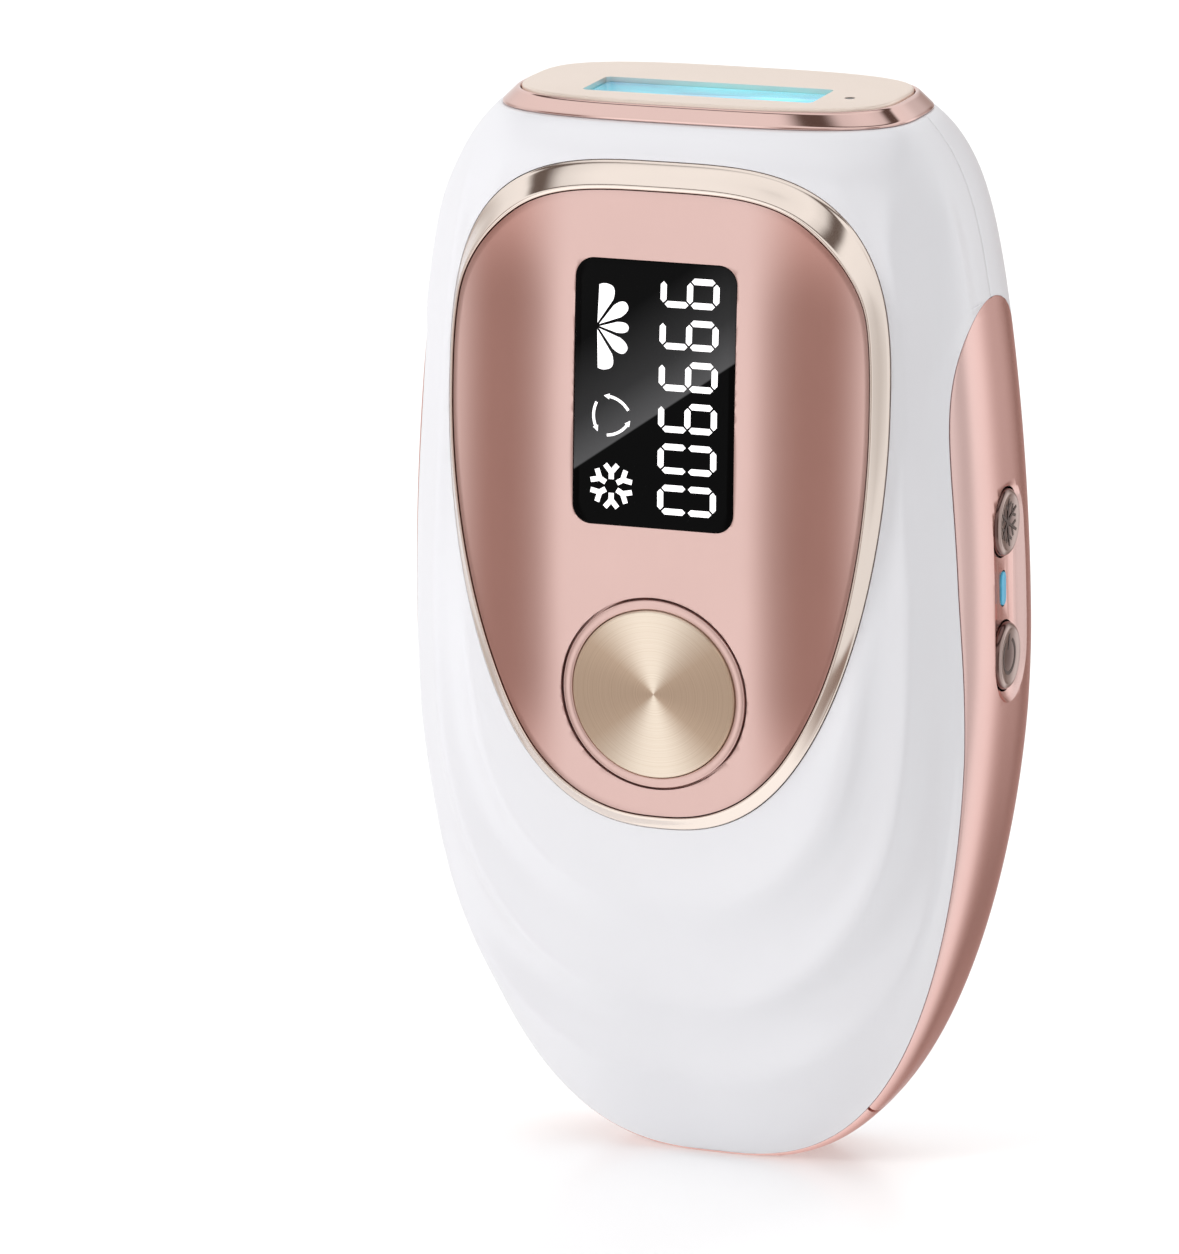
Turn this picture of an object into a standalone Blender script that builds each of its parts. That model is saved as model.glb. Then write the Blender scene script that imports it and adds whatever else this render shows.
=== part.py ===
"""Handheld IPL hair remover with an ice-cooled window, stood upright on its foot.

Drawn in millimetres and written out in metres. +Z runs up the body to the treatment window, the control face
looks along -Y, and the strip with the two side keys is on the +X side. Everything is drawn about the plane
where the two shells meet, and `make` moves it back by BACK_SHIFT, which puts the origin under the middle of
the object.
"""

import math

import bmesh
import bpy
import numpy as np

MM = 0.001
GAP = 0.3
BACK_SHIFT = (0.08, 1.72, 0.0)

# Body: rings of |x/a|^n + |y/b|^n = 1, with a and b given by smooth profiles over the height.
BODY_TOP = 156.96
RING_POWER = 3.161
HALF_WIDTH = 44.506
WIDEST_Z = 80.583
FRONT_DEPTH = 28.667
REAR_DEPTH = 26.008
DEEPEST_Z = 67.403
SHELL_WALL = 2.2
STRIP_WALL = 3.2
SHELL_TOP_Z = 156.6
# Heights at which the shells, strips and foot share their rows of points, so that their seams match.
FOOT_ROWS = (0.6, 1.0, 2.0, 3.5, 6.0)
STRIP_ROWS = (10.3, 14, 20, 28, 38, 50, 62, 74, 86, 98, 108, 116, 122, 126, 128.8, 130.6)
SHOULDER_ROWS = (131.0, 136, 142, 147, 151, 154, SHELL_TOP_Z)

# The side strip narrows from its widest height down to the foot and rounds over at its top.
STRIP_HALF = 16.1
STRIP_FOOT_HALF = 7.5
STRIP_WIDEST_Z = 92.0
STRIP_END_Z = 131.0

# Egg-shaped bezel of the raised control face.
BEZEL_HALF = 33.6
BEZEL_WIDEST_Z = 118.0
BEZEL_LOW_Z = 55.8
BEZEL_TOP_Z = 152.3
BEZEL_SIDE_WIDTH = 1.8
BEZEL_TOP_WIDTH = 3.6
BEZEL_LOW_WIDTH = 2.15
FACE_PEAK_Y = 29.15
FACE_PEAK_Z = 74.56
PANEL_THICK = 2.0

DISPLAY_Z = 119.77
DISPLAY_HALF_X = 12.16
DISPLAY_HALF_Z = 18.99
BUTTON_Z = 76.3
BUTTON_R = 12.4
BUTTON_FACE_Y = -29.45
BUTTON_HOLE_R = 14.3
BOARD_FRONT_Y = -19.9
BOARD_THICK = 1.6
CHASSIS_Y = (-2.0, 0.0)

RECESS_FLOOR_X = 43.0
RECESS_Z = (71.1, 104.5)
RECESS_HALF_Y = 7.1
RECESS_Y = -0.3
KEY_R = 5.0
KEY_FACE_X = 44.1
ICE_KEY_Z = 98.0
POWER_KEY_Z = 78.1
LED_Z = 88.1

PLATE_HALF_X = 28.43
PLATE_HALF_Y = 13.99
PLATE_POWER = 3.2
PLATE_TOP_Z = 159.52
WINDOW_Y = -3.76
WINDOW_HALF_X = 17.41
WINDOW_HALF_Y = 4.82

FAN_CENTRE = (0.0, 0.0, 91.0)
FAN_BACK_Y = 11.9
FAN_HALF = 15.0
FAN_THICK = 10.0
GRILLE_HALF_X = 15.5
GRILLE_HALF_Z = 17.5
SCREW_X = 20.0
SCREW_ZS = (66.0, 118.0)
JACK_R = 4.5

WHITE = (0.86, 0.86, 0.88)
ROSE = (0.72, 0.47, 0.42)
CHAMPAGNE = (0.80, 0.66, 0.52)
BRONZE = (0.33, 0.20, 0.17)
BLACK = (0.012, 0.012, 0.014)
ICE = (0.35, 0.80, 0.92)
GREEN = (0.03, 0.18, 0.08)
GREY = (0.25, 0.26, 0.28)
METAL = (0.70, 0.71, 0.73)
COPPER = (0.72, 0.36, 0.20)
CERAMIC = (0.90, 0.90, 0.86)


def clear_scene():
    for obj in list(bpy.data.objects):
        bpy.data.objects.remove(obj, do_unlink=True)


def half_width(z):
    z = np.asarray(z, float)
    low = np.clip((WIDEST_Z - z) / (WIDEST_Z + 1.2), 0, 1)
    high = np.clip((z - WIDEST_Z) / (BODY_TOP - WIDEST_Z), 0, 1)
    below = (1 - low**1.833) ** (1 / 2.76)
    above = (1 - 0.158 * high**2) * np.sqrt(1 - (0.894 * high) ** 11.058)
    return HALF_WIDTH * np.where(z < WIDEST_Z, below, above)


def depth_factor(z):
    z = np.asarray(z, float)
    low = np.clip((DEEPEST_Z - z) / (DEEPEST_Z + 2.0), 0, 1)
    high = np.clip((z - DEEPEST_Z) / (BODY_TOP - DEEPEST_Z), 0, 1)
    below = (1 - low**1.229) ** (1 / 2.363)
    above = (1 - 0.231 * high**2) * np.sqrt(1 - (0.956 * high) ** 18.312)
    return np.where(z < DEEPEST_Z, below, above)


def body_depth(z, side):
    """Half-depth of the body on the side of y that `side` names: -1 front, +1 rear."""
    return (FRONT_DEPTH if side < 0 else REAR_DEPTH) * depth_factor(z)


def body_y(x, z, side):
    """The body surface's y at (x, z)."""
    inside = np.clip(1 - (np.abs(x) / half_width(z)) ** RING_POWER, 0, 1)
    return side * body_depth(z, side) * inside ** (1 / RING_POWER)


def body_normals(points, side):
    """Outward unit normals of the body surface at points on it."""
    x, y, z = points.T
    n = RING_POWER
    a = half_width(z)
    b = body_depth(z, side)
    step = 0.05
    slope_a = (half_width(z + step) - half_width(z - step)) / (2 * step)
    slope_b = (body_depth(z + step, side) - body_depth(z - step, side)) / (2 * step)
    ax = np.abs(x) / a
    by = np.abs(y) / b
    out = np.stack(
        [
            np.sign(x) * ax ** (n - 1) / a,
            np.sign(y) * by ** (n - 1) / b,
            -(ax**n * slope_a / a + by**n * slope_b / b),
        ],
        axis=1,
    )
    return out / np.linalg.norm(out, axis=1)[:, None]


def seam_half(z):
    """Half-width in y of the side strip, and of the foot that it runs into."""
    below = np.clip((STRIP_WIDEST_Z - z) / STRIP_WIDEST_Z, 0, 1)
    above = np.clip((z - STRIP_WIDEST_Z) / (STRIP_END_Z - STRIP_WIDEST_Z), 0, 1)
    low = STRIP_HALF - (STRIP_HALF - STRIP_FOOT_HALF) * below**1.43
    return np.where(z < STRIP_WIDEST_Z, low, STRIP_HALF * (1 - above**5.33) ** (1 / 1.91))


def bezel_half(z):
    """Half-width in x of the bezel's outline."""
    below = np.clip((BEZEL_WIDEST_Z - z) / (BEZEL_WIDEST_Z - BEZEL_LOW_Z), 0, 1)
    above = np.clip((z - BEZEL_WIDEST_Z) / (BEZEL_TOP_Z - BEZEL_WIDEST_Z), 0, 1)
    low = (1 - below**1.94) ** (1 / 2.46)
    return BEZEL_HALF * np.where(z < BEZEL_WIDEST_Z, low, (1 - above**2.89) ** (1 / 3.32))


def face_y(x, z):
    """Front surface of the raised control panel: flat in the middle, falling at the sides."""
    middle = FACE_PEAK_Y - 2.57 * (np.abs(z - FACE_PEAK_Z) / 50) ** 1.925
    return -middle * (1 - 0.077 * (np.abs(x) / 31.0) ** 3)


def resample(points, count, closed):
    points = np.asarray(points, float)
    if closed:
        points = np.vstack([points, points[:1]])
    length = np.concatenate([[0], np.cumsum(np.linalg.norm(np.diff(points, axis=0), axis=1))])
    at = np.linspace(0, length[-1], count + 1)[:-1] if closed else np.linspace(0, length[-1], count)
    return np.stack([np.interp(at, length, points[:, i]) for i in range(points.shape[1])], axis=1)


def superellipse(a, b, power, count, centre_y=0.0):
    t = np.linspace(0, 2 * np.pi, 720, endpoint=False)
    x = a * np.sign(np.cos(t)) * np.abs(np.cos(t)) ** (2 / power)
    y = centre_y + b * np.sign(np.sin(t)) * np.abs(np.sin(t)) ** (2 / power)
    return resample(np.stack([x, y], axis=1), count, True)


def rounded_rect(half_x, half_y, radius, per_corner=4):
    points = []
    corners = ((1, 1, 0), (-1, 1, 90), (-1, -1, 180), (1, -1, 270))
    for sx, sy, start in corners:
        for k in range(per_corner + 1):
            angle = math.radians(start + 90 * k / per_corner)
            px = sx * (half_x - radius) + radius * math.cos(angle)
            py = sy * (half_y - radius) + radius * math.sin(angle)
            points.append((px, py))
    return np.array(points)


def stadium(half_x, low_z, high_z, per_end=8):
    """Counter-clockwise outline with round ends, long way up."""
    points = []
    for k in range(per_end + 1):
        angle = math.pi * k / per_end
        points.append((half_x * math.cos(angle), high_z - half_x + half_x * math.sin(angle)))
    for k in range(per_end + 1):
        angle = math.pi + math.pi * k / per_end
        points.append((half_x * math.cos(angle), low_z + half_x + half_x * math.sin(angle)))
    return np.array(points)


def bezel_outline(count):
    """Counter-clockwise (x, z) outline of the bezel, starting at the bottom middle."""
    z = BEZEL_LOW_Z + (BEZEL_TOP_Z - BEZEL_LOW_Z) * (1 - np.cos(np.linspace(0, np.pi, 600))) / 2
    right = np.stack([bezel_half(z), z], axis=1)
    left = right[::-1][1:-1] * (-1, 1)
    return resample(np.vstack([right, left]), count, True)


def inset(outline, distance):
    """Moves a counter-clockwise outline inwards."""
    ahead = np.roll(outline, -1, axis=0) - np.roll(outline, 1, axis=0)
    normal = np.stack([ahead[:, 1], -ahead[:, 0]], axis=1)
    normal /= np.linalg.norm(normal, axis=1)[:, None]
    return outline - normal * np.asarray(distance).reshape(-1, 1)


def bezel_width(outline):
    z = outline[:, 1]
    top = np.clip((z - 132) / 16, 0, 1)
    low = np.clip((66 - z) / 9, 0, 1)
    width = BEZEL_SIDE_WIDTH + (BEZEL_TOP_WIDTH - BEZEL_SIDE_WIDTH) * top**2 * (3 - 2 * top)
    return width + (BEZEL_LOW_WIDTH - BEZEL_SIDE_WIDTH) * low


def material(name, color, metallic, roughness):
    made = bpy.data.materials.new(name)
    made.use_nodes = True
    shader = made.node_tree.nodes["Principled BSDF"]
    shader.inputs["Base Color"].default_value = (*color, 1)
    shader.inputs["Metallic"].default_value = metallic
    shader.inputs["Roughness"].default_value = roughness
    return made


def make(name, points, faces, color, metallic=0.0, roughness=0.4, angle=32, origin=None):
    """A closed mesh object from points in mm. `origin` sets the object's own origin, in mm."""
    points = np.asarray(points, float) + BACK_SHIFT
    at = np.zeros(3) if origin is None else np.asarray(origin, float) + BACK_SHIFT
    mesh = bpy.data.meshes.new(name)
    mesh.from_pydata(((points - at) * MM).tolist(), [], [tuple(int(i) for i in f) for f in faces])
    clean = bmesh.new()
    clean.from_mesh(mesh)
    bmesh.ops.remove_doubles(clean, verts=clean.verts, dist=2e-6)
    bmesh.ops.recalc_face_normals(clean, faces=clean.faces)
    clean.to_mesh(mesh)
    clean.free()
    obj = bpy.data.objects.new(name, mesh)
    obj.location = at * MM
    bpy.context.scene.collection.objects.link(obj)
    mesh.materials.append(material(name, color, metallic, roughness))
    mesh.shade_smooth()
    mesh.set_sharp_from_angle(angle=math.radians(angle))
    return obj


def cutter(name, points, faces):
    obj = make(name, points, faces, GREY)
    obj.hide_render = True
    obj.display_type = "WIRE"
    return obj


def combine(obj, other, operation):
    added = obj.modifiers.new(other.name, "BOOLEAN")
    added.operation = operation
    added.solver = "EXACT"
    added.object = other
    return obj


def cut(obj, other):
    return combine(obj, other, "DIFFERENCE")


def join(obj, other):
    return combine(obj, other, "UNION")


def thick_patch(outer, inner):
    """Closed body between two grids of points of the same shape (rows, columns, 3)."""
    rows, cols, _ = outer.shape
    points = np.vstack([outer.reshape(-1, 3), inner.reshape(-1, 3)])
    shift = rows * cols
    faces = []
    for i in range(rows - 1):
        for j in range(cols - 1):
            a = i * cols + j
            faces.append((a, a + 1, a + cols + 1, a + cols))
            faces.append((a + shift, a + cols + shift, a + cols + 1 + shift, a + 1 + shift))
    around = [(0, j) for j in range(cols)]
    around += [(i, cols - 1) for i in range(1, rows)]
    around += [(rows - 1, j) for j in range(cols - 2, -1, -1)]
    around += [(i, 0) for i in range(rows - 2, 0, -1)]
    index = [i * cols + j for i, j in around]
    for a, b in zip(index, index[1:] + index[:1]):
        faces.append((a, a + shift, b + shift, b))
    return points, faces


def loft(loops):
    """Closed body through loops of equal length, with a face at each end."""
    count = len(loops[0])
    points = np.vstack(loops)
    faces = [tuple(range(count))[::-1], tuple(range((len(loops) - 1) * count, len(loops) * count))]
    for i in range(len(loops) - 1):
        for j in range(count):
            k = (j + 1) % count
            faces.append((i * count + j, i * count + k, (i + 1) * count + k, (i + 1) * count + j))
    return points, faces


def sweep_ring(loops):
    """Closed tube body: the loops run round a section that joins back on itself."""
    count = len(loops[0])
    points = np.vstack(loops)
    faces = []
    for i in range(len(loops)):
        n = (i + 1) % len(loops)
        for j in range(count):
            k = (j + 1) % count
            faces.append((i * count + j, i * count + k, n * count + k, n * count + j))
    return points, faces


def dished_plate(outline, front, back, middle, shares=(0.66, 0.33)):
    """Closed plate over an (x, z) outline, its two faces given as y(x, z), with rings of points inside it."""
    middle = np.asarray(middle, float)
    rings = [outline] + [middle + (outline - middle) * s for s in shares]
    count = len(outline)
    points = []
    for surface in (front, back):
        for ring in rings:
            points.append(np.stack([ring[:, 0], surface(ring[:, 0], ring[:, 1]), ring[:, 1]], axis=1))
        y = float(surface(np.array([middle[0]]), np.array([middle[1]]))[0])
        points.append(np.array([[middle[0], y, middle[1]]]))
    points = np.vstack(points)
    side = len(rings) * count + 1
    faces = []
    for s in (0, side):
        for i in range(len(rings) - 1):
            for j in range(count):
                k = (j + 1) % count
                a = s + i * count
                faces.append((a + j, a + k, a + count + k, a + count + j))
        last = s + (len(rings) - 1) * count
        for j in range(count):
            faces.append((last + j, last + (j + 1) % count, s + side - 1))
    for j in range(count):
        k = (j + 1) % count
        faces.append((j, side + j, side + k, k))
    return points, faces


def place(loop2d, level, axis):
    """Puts a flat loop at a level: 'x' gives (level, u, v), 'y' (u, level, v) and 'z' (u, v, level)."""
    u, v = loop2d[:, 0], loop2d[:, 1]
    w = np.full(len(loop2d), float(level))
    order = {"x": (w, u, v), "y": (u, w, v), "z": (u, v, w)}
    return np.stack(order[axis], axis=1)


def prism(loop2d, low, high, axis):
    return loft([place(loop2d, low, axis), place(loop2d, high, axis)])


def circle(radius, count, centre=(0.0, 0.0)):
    t = np.linspace(0, 2 * np.pi, count, endpoint=False)
    return np.stack([centre[0] + radius * np.cos(t), centre[1] + radius * np.sin(t)], axis=1)


def turned(profile, axis, centre, count=32):
    """Solid of revolution. The profile is (radius, level) from axis to axis; a zero radius is the axis."""
    centre = np.asarray(centre, float)
    points = []
    rows = []
    for radius, level in profile:
        if radius < 1e-6:
            rows.append((len(points), 1))
            points.append(place(np.zeros((1, 2)), level, axis)[0] + centre)
            continue
        rows.append((len(points), count))
        points.extend(place(circle(radius, count), level, axis) + centre)
    faces = []
    for (a, na), (b, nb) in zip(rows, rows[1:]):
        for j in range(count):
            k = (j + 1) % count
            if na == 1:
                faces.append((a, b + j, b + k))
            elif nb == 1:
                faces.append((a + j, b, a + k))
            else:
                faces.append((a + j, b + j, b + k, a + k))
    return np.array(points), faces


def bar(low, high, chamfer=0.0):
    """Box with chamfered upright (Z) edges."""
    low = np.asarray(low, float)
    high = np.asarray(high, float)
    middle = (low + high) / 2
    half = (high - low) / 2
    if chamfer <= 0:
        loop = np.array([(half[0], half[1]), (-half[0], half[1]), (-half[0], -half[1]), (half[0], -half[1])])
    else:
        loop = rounded_rect(half[0], half[1], chamfer, 1)
    return prism(loop + middle[:2], low[2], high[2], "z")


def shell_points(zs, half_of, columns, side, wall, gap):
    """Outer and inner grids of a shell half, from seam to seam round the given side."""
    outer = []
    ratio = 1.0 if side < 0 else REAR_DEPTH / FRONT_DEPTH
    for z in zs:
        a = float(half_width(z))
        b = float(body_depth(z, side))
        edge = min(half_of(z) * ratio + gap, b * 0.995)
        reach = a * (1 - (edge / b) ** RING_POWER) ** (1 / RING_POWER)
        start = math.asin(min(1.0, (edge / b) ** (RING_POWER / 2)))
        t = np.linspace(start, math.pi - start, 300)
        x = a * np.sign(np.cos(t)) * np.abs(np.cos(t)) ** (2 / RING_POWER)
        y = side * b * np.abs(np.sin(t)) ** (2 / RING_POWER)
        x[0], x[-1] = reach, -reach
        y[0] = y[-1] = side * edge
        row = resample(np.stack([x, y], axis=1), columns, False)
        outer.append(np.column_stack([row, np.full(columns, z)]))
    outer = np.array(outer)
    inner = outer - wall * body_normals(outer.reshape(-1, 3), side).reshape(outer.shape)
    return outer, inner


def shell_seam(z):
    """Half-width of what lies between the two shells: the strip, and nothing above it."""
    return float(seam_half(z)) if z < 130.9 else 0.0


def make_shells():
    zs = FOOT_ROWS + STRIP_ROWS + SHOULDER_ROWS
    front_points = shell_points(zs, shell_seam, 19, -1, SHELL_WALL, GAP / 2)
    front = make("front_shell", *thick_patch(*front_points), WHITE)
    hole = inset(bezel_outline(56), -GAP)
    cut(front, cutter("bezel_cut", *prism(hole, -45, -11, "y")))
    rear = make("rear_shell", *thick_patch(*shell_points(zs, shell_seam, 17, 1, SHELL_WALL, GAP / 2)), WHITE)
    window = rounded_rect(GRILLE_HALF_X, GRILLE_HALF_Z, 7.0, 3) + (0, FAN_CENTRE[2])
    cut(rear, cutter("grille_cut", *prism(window, 15, 40, "y")))


def seam_x(z):
    """The body's x where the seam crosses height z."""
    share = float(seam_half(z)) / float(body_depth(z, -1))
    return float(half_width(z)) * (1 - share**RING_POWER) ** (1 / RING_POWER)


def strip_grids(sign):
    ratio = REAR_DEPTH / FRONT_DEPTH
    outer = []
    normals = []
    for level in STRIP_ROWS:
        half = float(seam_half(level)) - GAP / 2
        row = []
        out = []
        for v in np.linspace(-1, 1, 9):
            side = -1 if v < 0 else 1
            y = v * half * (1.0 if v < 0 else ratio)
            z = lowest_z(seam_x(level), y) if level == STRIP_ROWS[0] else level
            b = float(body_depth(z, side))
            x = sign * float(half_width(z)) * (1 - (abs(y) / b) ** RING_POWER) ** (1 / RING_POWER)
            row.append((x, y, z))
            out.append(body_normals(np.array([(x, y if y else 1e-6, z)]), side)[0])
        outer.append(row)
        normals.append(out)
    outer = np.array(outer)
    return outer, outer - STRIP_WALL * np.array(normals)


def make_strips():
    right = make("side_strip_right", *thick_patch(*strip_grids(1)), ROSE, 0.8, 0.3)
    make("side_strip_left", *thick_patch(*strip_grids(-1)), ROSE, 0.8, 0.3)
    recess = stadium(RECESS_HALF_Y, *RECESS_Z) + (RECESS_Y, 0)
    cut(right, cutter("recess_cut", *prism(recess, RECESS_FLOOR_X, 50, "x")))
    for name, z in (("ice", ICE_KEY_Z), ("power", POWER_KEY_Z)):
        hole = circle(KEY_R + GAP, 28, (0, z))
        cut(right, cutter(name + "_key_cut", *prism(hole, 36, 50, "x")))
    slot = rounded_rect(1.0 + GAP, 2.45 + GAP, 0.9, 2) + (0, LED_Z)
    cut(right, cutter("led_cut", *prism(slot, 36, 50, "x")))


def lowest_z(x, y):
    """Height of the body's underside over (x, y): zero on the foot."""
    low, high = 0.0, 60.0
    side = -1 if y < 0 else 1

    def outside(z):
        across = (abs(x) / float(half_width(z))) ** RING_POWER
        return across + (abs(y) / float(body_depth(z, side))) ** RING_POWER > 1

    if not outside(0.0):
        return 0.0
    for _ in range(40):
        middle = (low + high) / 2
        if outside(middle):
            low = middle
        else:
            high = middle
    return high


def make_bottom_cap():
    columns = [(0.0, FOOT_ROWS[0])] + [(seam_x(z), z) for z in FOOT_ROWS]
    columns.append((seam_x(STRIP_ROWS[0]) - GAP, STRIP_ROWS[0]))
    columns = [(-x, z) for x, z in columns[:0:-1]] + columns
    outer = []
    inner = []
    for x, level in columns:
        half = float(seam_half(level)) - GAP / 2
        row = []
        top = []
        for v in np.linspace(-1, 1, 9):
            y = v * half * (1.0 if v < 0 else REAR_DEPTH / FRONT_DEPTH)
            z = lowest_z(x, y)
            if z > 0.02:
                out = body_normals(np.array([(x, y, z)]), -1 if y < 0 else 1)[0]
            else:
                out = np.array((0, 0, -1.0))
            row.append((x, y, z))
            top.append(np.array((x, y, z)) - SHELL_WALL * out)
        outer.append(row)
        inner.append(top)
    cap = make("bottom_cap", *thick_patch(np.array(outer), np.array(inner)), ROSE, 0.8, 0.3)
    cut(cap, cutter("jack_cut", *prism(circle(JACK_R + GAP, 28), -5, 9, "z")))


def make_bezel_and_panel():
    outline = bezel_outline(56)
    width = bezel_width(outline)
    shell_y = body_y(outline[:, 0], outline[:, 1], -1)
    sections = []
    inner = inset(outline, width)
    panel_y = face_y(inner[:, 0], inner[:, 1])
    for share, level in (
        (0.0, shell_y + 3.0),
        (0.0, shell_y - 0.25),
        (0.35, shell_y - 0.25 + 0.55 * (panel_y - 0.25 - shell_y)),
        (0.85, panel_y - 0.3),
        (1.0, panel_y - 0.15),
        (1.0, panel_y + 2.6),
    ):
        loop = inset(outline, width * share)
        sections.append(np.stack([loop[:, 0], level, loop[:, 1]], axis=1))
    make("front_bezel", *sweep_ring(sections), CHAMPAGNE, 1.0, 0.2)

    edge = inset(outline, width + 0.2)
    points, faces = dished_plate(
        edge, face_y, lambda x, z: face_y(x, z) + PANEL_THICK, (0, 104), (0.72, 0.4)
    )
    panel = make("front_panel", points, faces, ROSE, 0.8, 0.35)
    lens_hole = rounded_rect(DISPLAY_HALF_X + GAP, DISPLAY_HALF_Z + GAP, 3.0) + (0, DISPLAY_Z)
    cut(panel, cutter("lens_cut", *prism(lens_hole, -45, -10, "y")))
    cut(panel, cutter("button_cut", *prism(circle(BUTTON_HOLE_R, 32, (0, BUTTON_Z)), -45, -10, "y")))


def make_display():
    lens = rounded_rect(DISPLAY_HALF_X, DISPLAY_HALF_Z, 2.7) + (0, DISPLAY_Z)

    def centre_line(x, z):
        return face_y(np.zeros_like(x), z)

    points, faces = dished_plate(
        lens, lambda x, z: centre_line(x, z) - 0.1, lambda x, z: centre_line(x, z) + 1.4, (0, DISPLAY_Z)
    )
    make("display_lens", points, faces, BLACK, 0.0, 0.05)
    frame = rounded_rect(13.6, 20.0, 1.0, 1) + (0, DISPLAY_Z)
    points, faces = dished_plate(
        frame, lambda x, z: centre_line(x, z) + 2.5, lambda x, z: centre_line(x, z) + 4.6, (0, DISPLAY_Z)
    )
    make("display_module", points, faces, GREY, 0.3, 0.5)


def make_flash_button():
    y = BUTTON_FACE_Y
    profile = [
        (0, y + 0.35),
        (6.0, y + 0.22),
        (10.9, y),
        (11.9, y + 0.1),
        (BUTTON_R, y + 0.6),
        (BUTTON_R, -24.9),
        (13.3, -24.9),
        (13.3, -24.1),
        (3.0, -24.1),
        (3.0, -22.9),
        (0, -22.9),
    ]
    made = turned(profile, "y", (0, 0, BUTTON_Z), 32)
    make("flash_button", *made, CHAMPAGNE, 0.9, 0.25, origin=(0, y, BUTTON_Z))
    ring = []
    for radius, level in (
        (BUTTON_R + 0.25, -29.1),
        (BUTTON_R + 0.5, -29.35),
        (13.75, -29.3),
        (13.95, -29.0),
        (13.95, -26.5),
        (15.4, -26.5),
        (15.4, -25.5),
        (BUTTON_R + 0.25, -25.5),
    ):
        ring.append(place(circle(radius, 32, (0, BUTTON_Z)), level, "y"))
    make("button_ring", *sweep_ring(ring), ROSE, 0.9, 0.25)
    points, faces = bar((-3, -22.0, BUTTON_Z - 3), (3, BOARD_FRONT_Y - GAP, BUTTON_Z + 3))
    make("flash_switch", points, faces, BLACK)


def make_side_keys():
    for name, z in (("ice_button", ICE_KEY_Z), ("power_button", POWER_KEY_Z)):
        profile = [
            (0, 38.9),
            (2.0, 38.9),
            (2.0, 39.6),
            (5.9, 39.6),
            (5.9, 40.3),
            (KEY_R, 40.3),
            (KEY_R, KEY_FACE_X - 0.4),
            (KEY_R - 0.4, KEY_FACE_X),
            (0, KEY_FACE_X - 0.25),
        ]
        made = turned(profile, "x", (0, 0, z), 28)
        make(name, *made, BRONZE, 0.8, 0.35, origin=(KEY_FACE_X, 0, z))
    bar_outline = rounded_rect(1.0, 2.45, 0.8, 2) + (0, LED_Z)
    make("led_lens", *prism(bar_outline, 36.7, RECESS_FLOOR_X + 0.15, "x"), ICE, 0.0, 0.2)
    board = rounded_rect(7.0, 18.0, 1.0, 1) + (0, 88.5)
    make("side_board", *prism(board, 35.2, 36.4, "x"), GREEN)
    for name, z in (("ice_switch", ICE_KEY_Z), ("power_switch", POWER_KEY_Z)):
        make(name, *bar((36.7, -2.6, z - 2.6), (38.2, 2.6, z + 2.6)), BLACK)


def make_head():
    count = 44
    sections = []
    for a, b, z in (
        (31.3, 15.4, 156.9),
        (31.2, 15.35, 157.2),
        (29.3, 14.55, 159.0),
        (28.9, 14.35, 159.15),
        (PLATE_HALF_X + GAP, PLATE_HALF_Y + GAP, 159.0),
        (PLATE_HALF_X + GAP, PLATE_HALF_Y + GAP, 157.7),
        (26.4, 12.2, 157.7),
        (26.4, 12.2, 156.9),
    ):
        sections.append(place(superellipse(a, b, PLATE_POWER, count), z, "z"))
    make("head_collar", *sweep_ring(sections), ROSE, 1.0, 0.12)
    loops = []
    for shrink, z in ((0.0, 158.0), (0.0, PLATE_TOP_Z - 0.35), (0.35, PLATE_TOP_Z)):
        loop = superellipse(PLATE_HALF_X - shrink, PLATE_HALF_Y - shrink, PLATE_POWER, count)
        loops.append(place(loop, z, "z"))
    plate = make("head_plate", *loft(loops), CHAMPAGNE, 0.9, 0.3)
    hole = rounded_rect(WINDOW_HALF_X + GAP, WINDOW_HALF_Y + GAP, 1.8) + (0, WINDOW_Y)
    cut(plate, cutter("window_cut", *prism(hole, 150, 170, "z")))
    sensor_hole = circle(0.9, 16, (21.6, WINDOW_Y))
    cut(plate, cutter("sensor_cut", *prism(sensor_hole, 150, 170, "z")))
    sensor = turned([(0, 154.5), (0.6, 154.5), (0.6, 159.45), (0, 159.5)], "z", (21.6, WINDOW_Y, 0), 16)
    make("skin_sensor", *sensor, BLACK, 0.0, 0.2)
    crystal = [
        (WINDOW_HALF_X, WINDOW_HALF_Y, 153.4),
        (WINDOW_HALF_X, WINDOW_HALF_Y, 158.9),
        (WINDOW_HALF_X - 0.4, WINDOW_HALF_Y - 0.4, 159.3),
    ]
    loops = [place(rounded_rect(a, b, 1.5) + (0, WINDOW_Y), z, "z") for a, b, z in crystal]
    make("ice_window", *loft(loops), ICE, 0.0, 0.05)
    holder = make("crystal_holder", *bar((-20.4, -11.3, 153.2), (20.4, 3.9, 156.6), 1.0), CERAMIC)
    cut(holder, cutter("holder_cut", *prism(hole, 150, 170, "z")))


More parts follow.
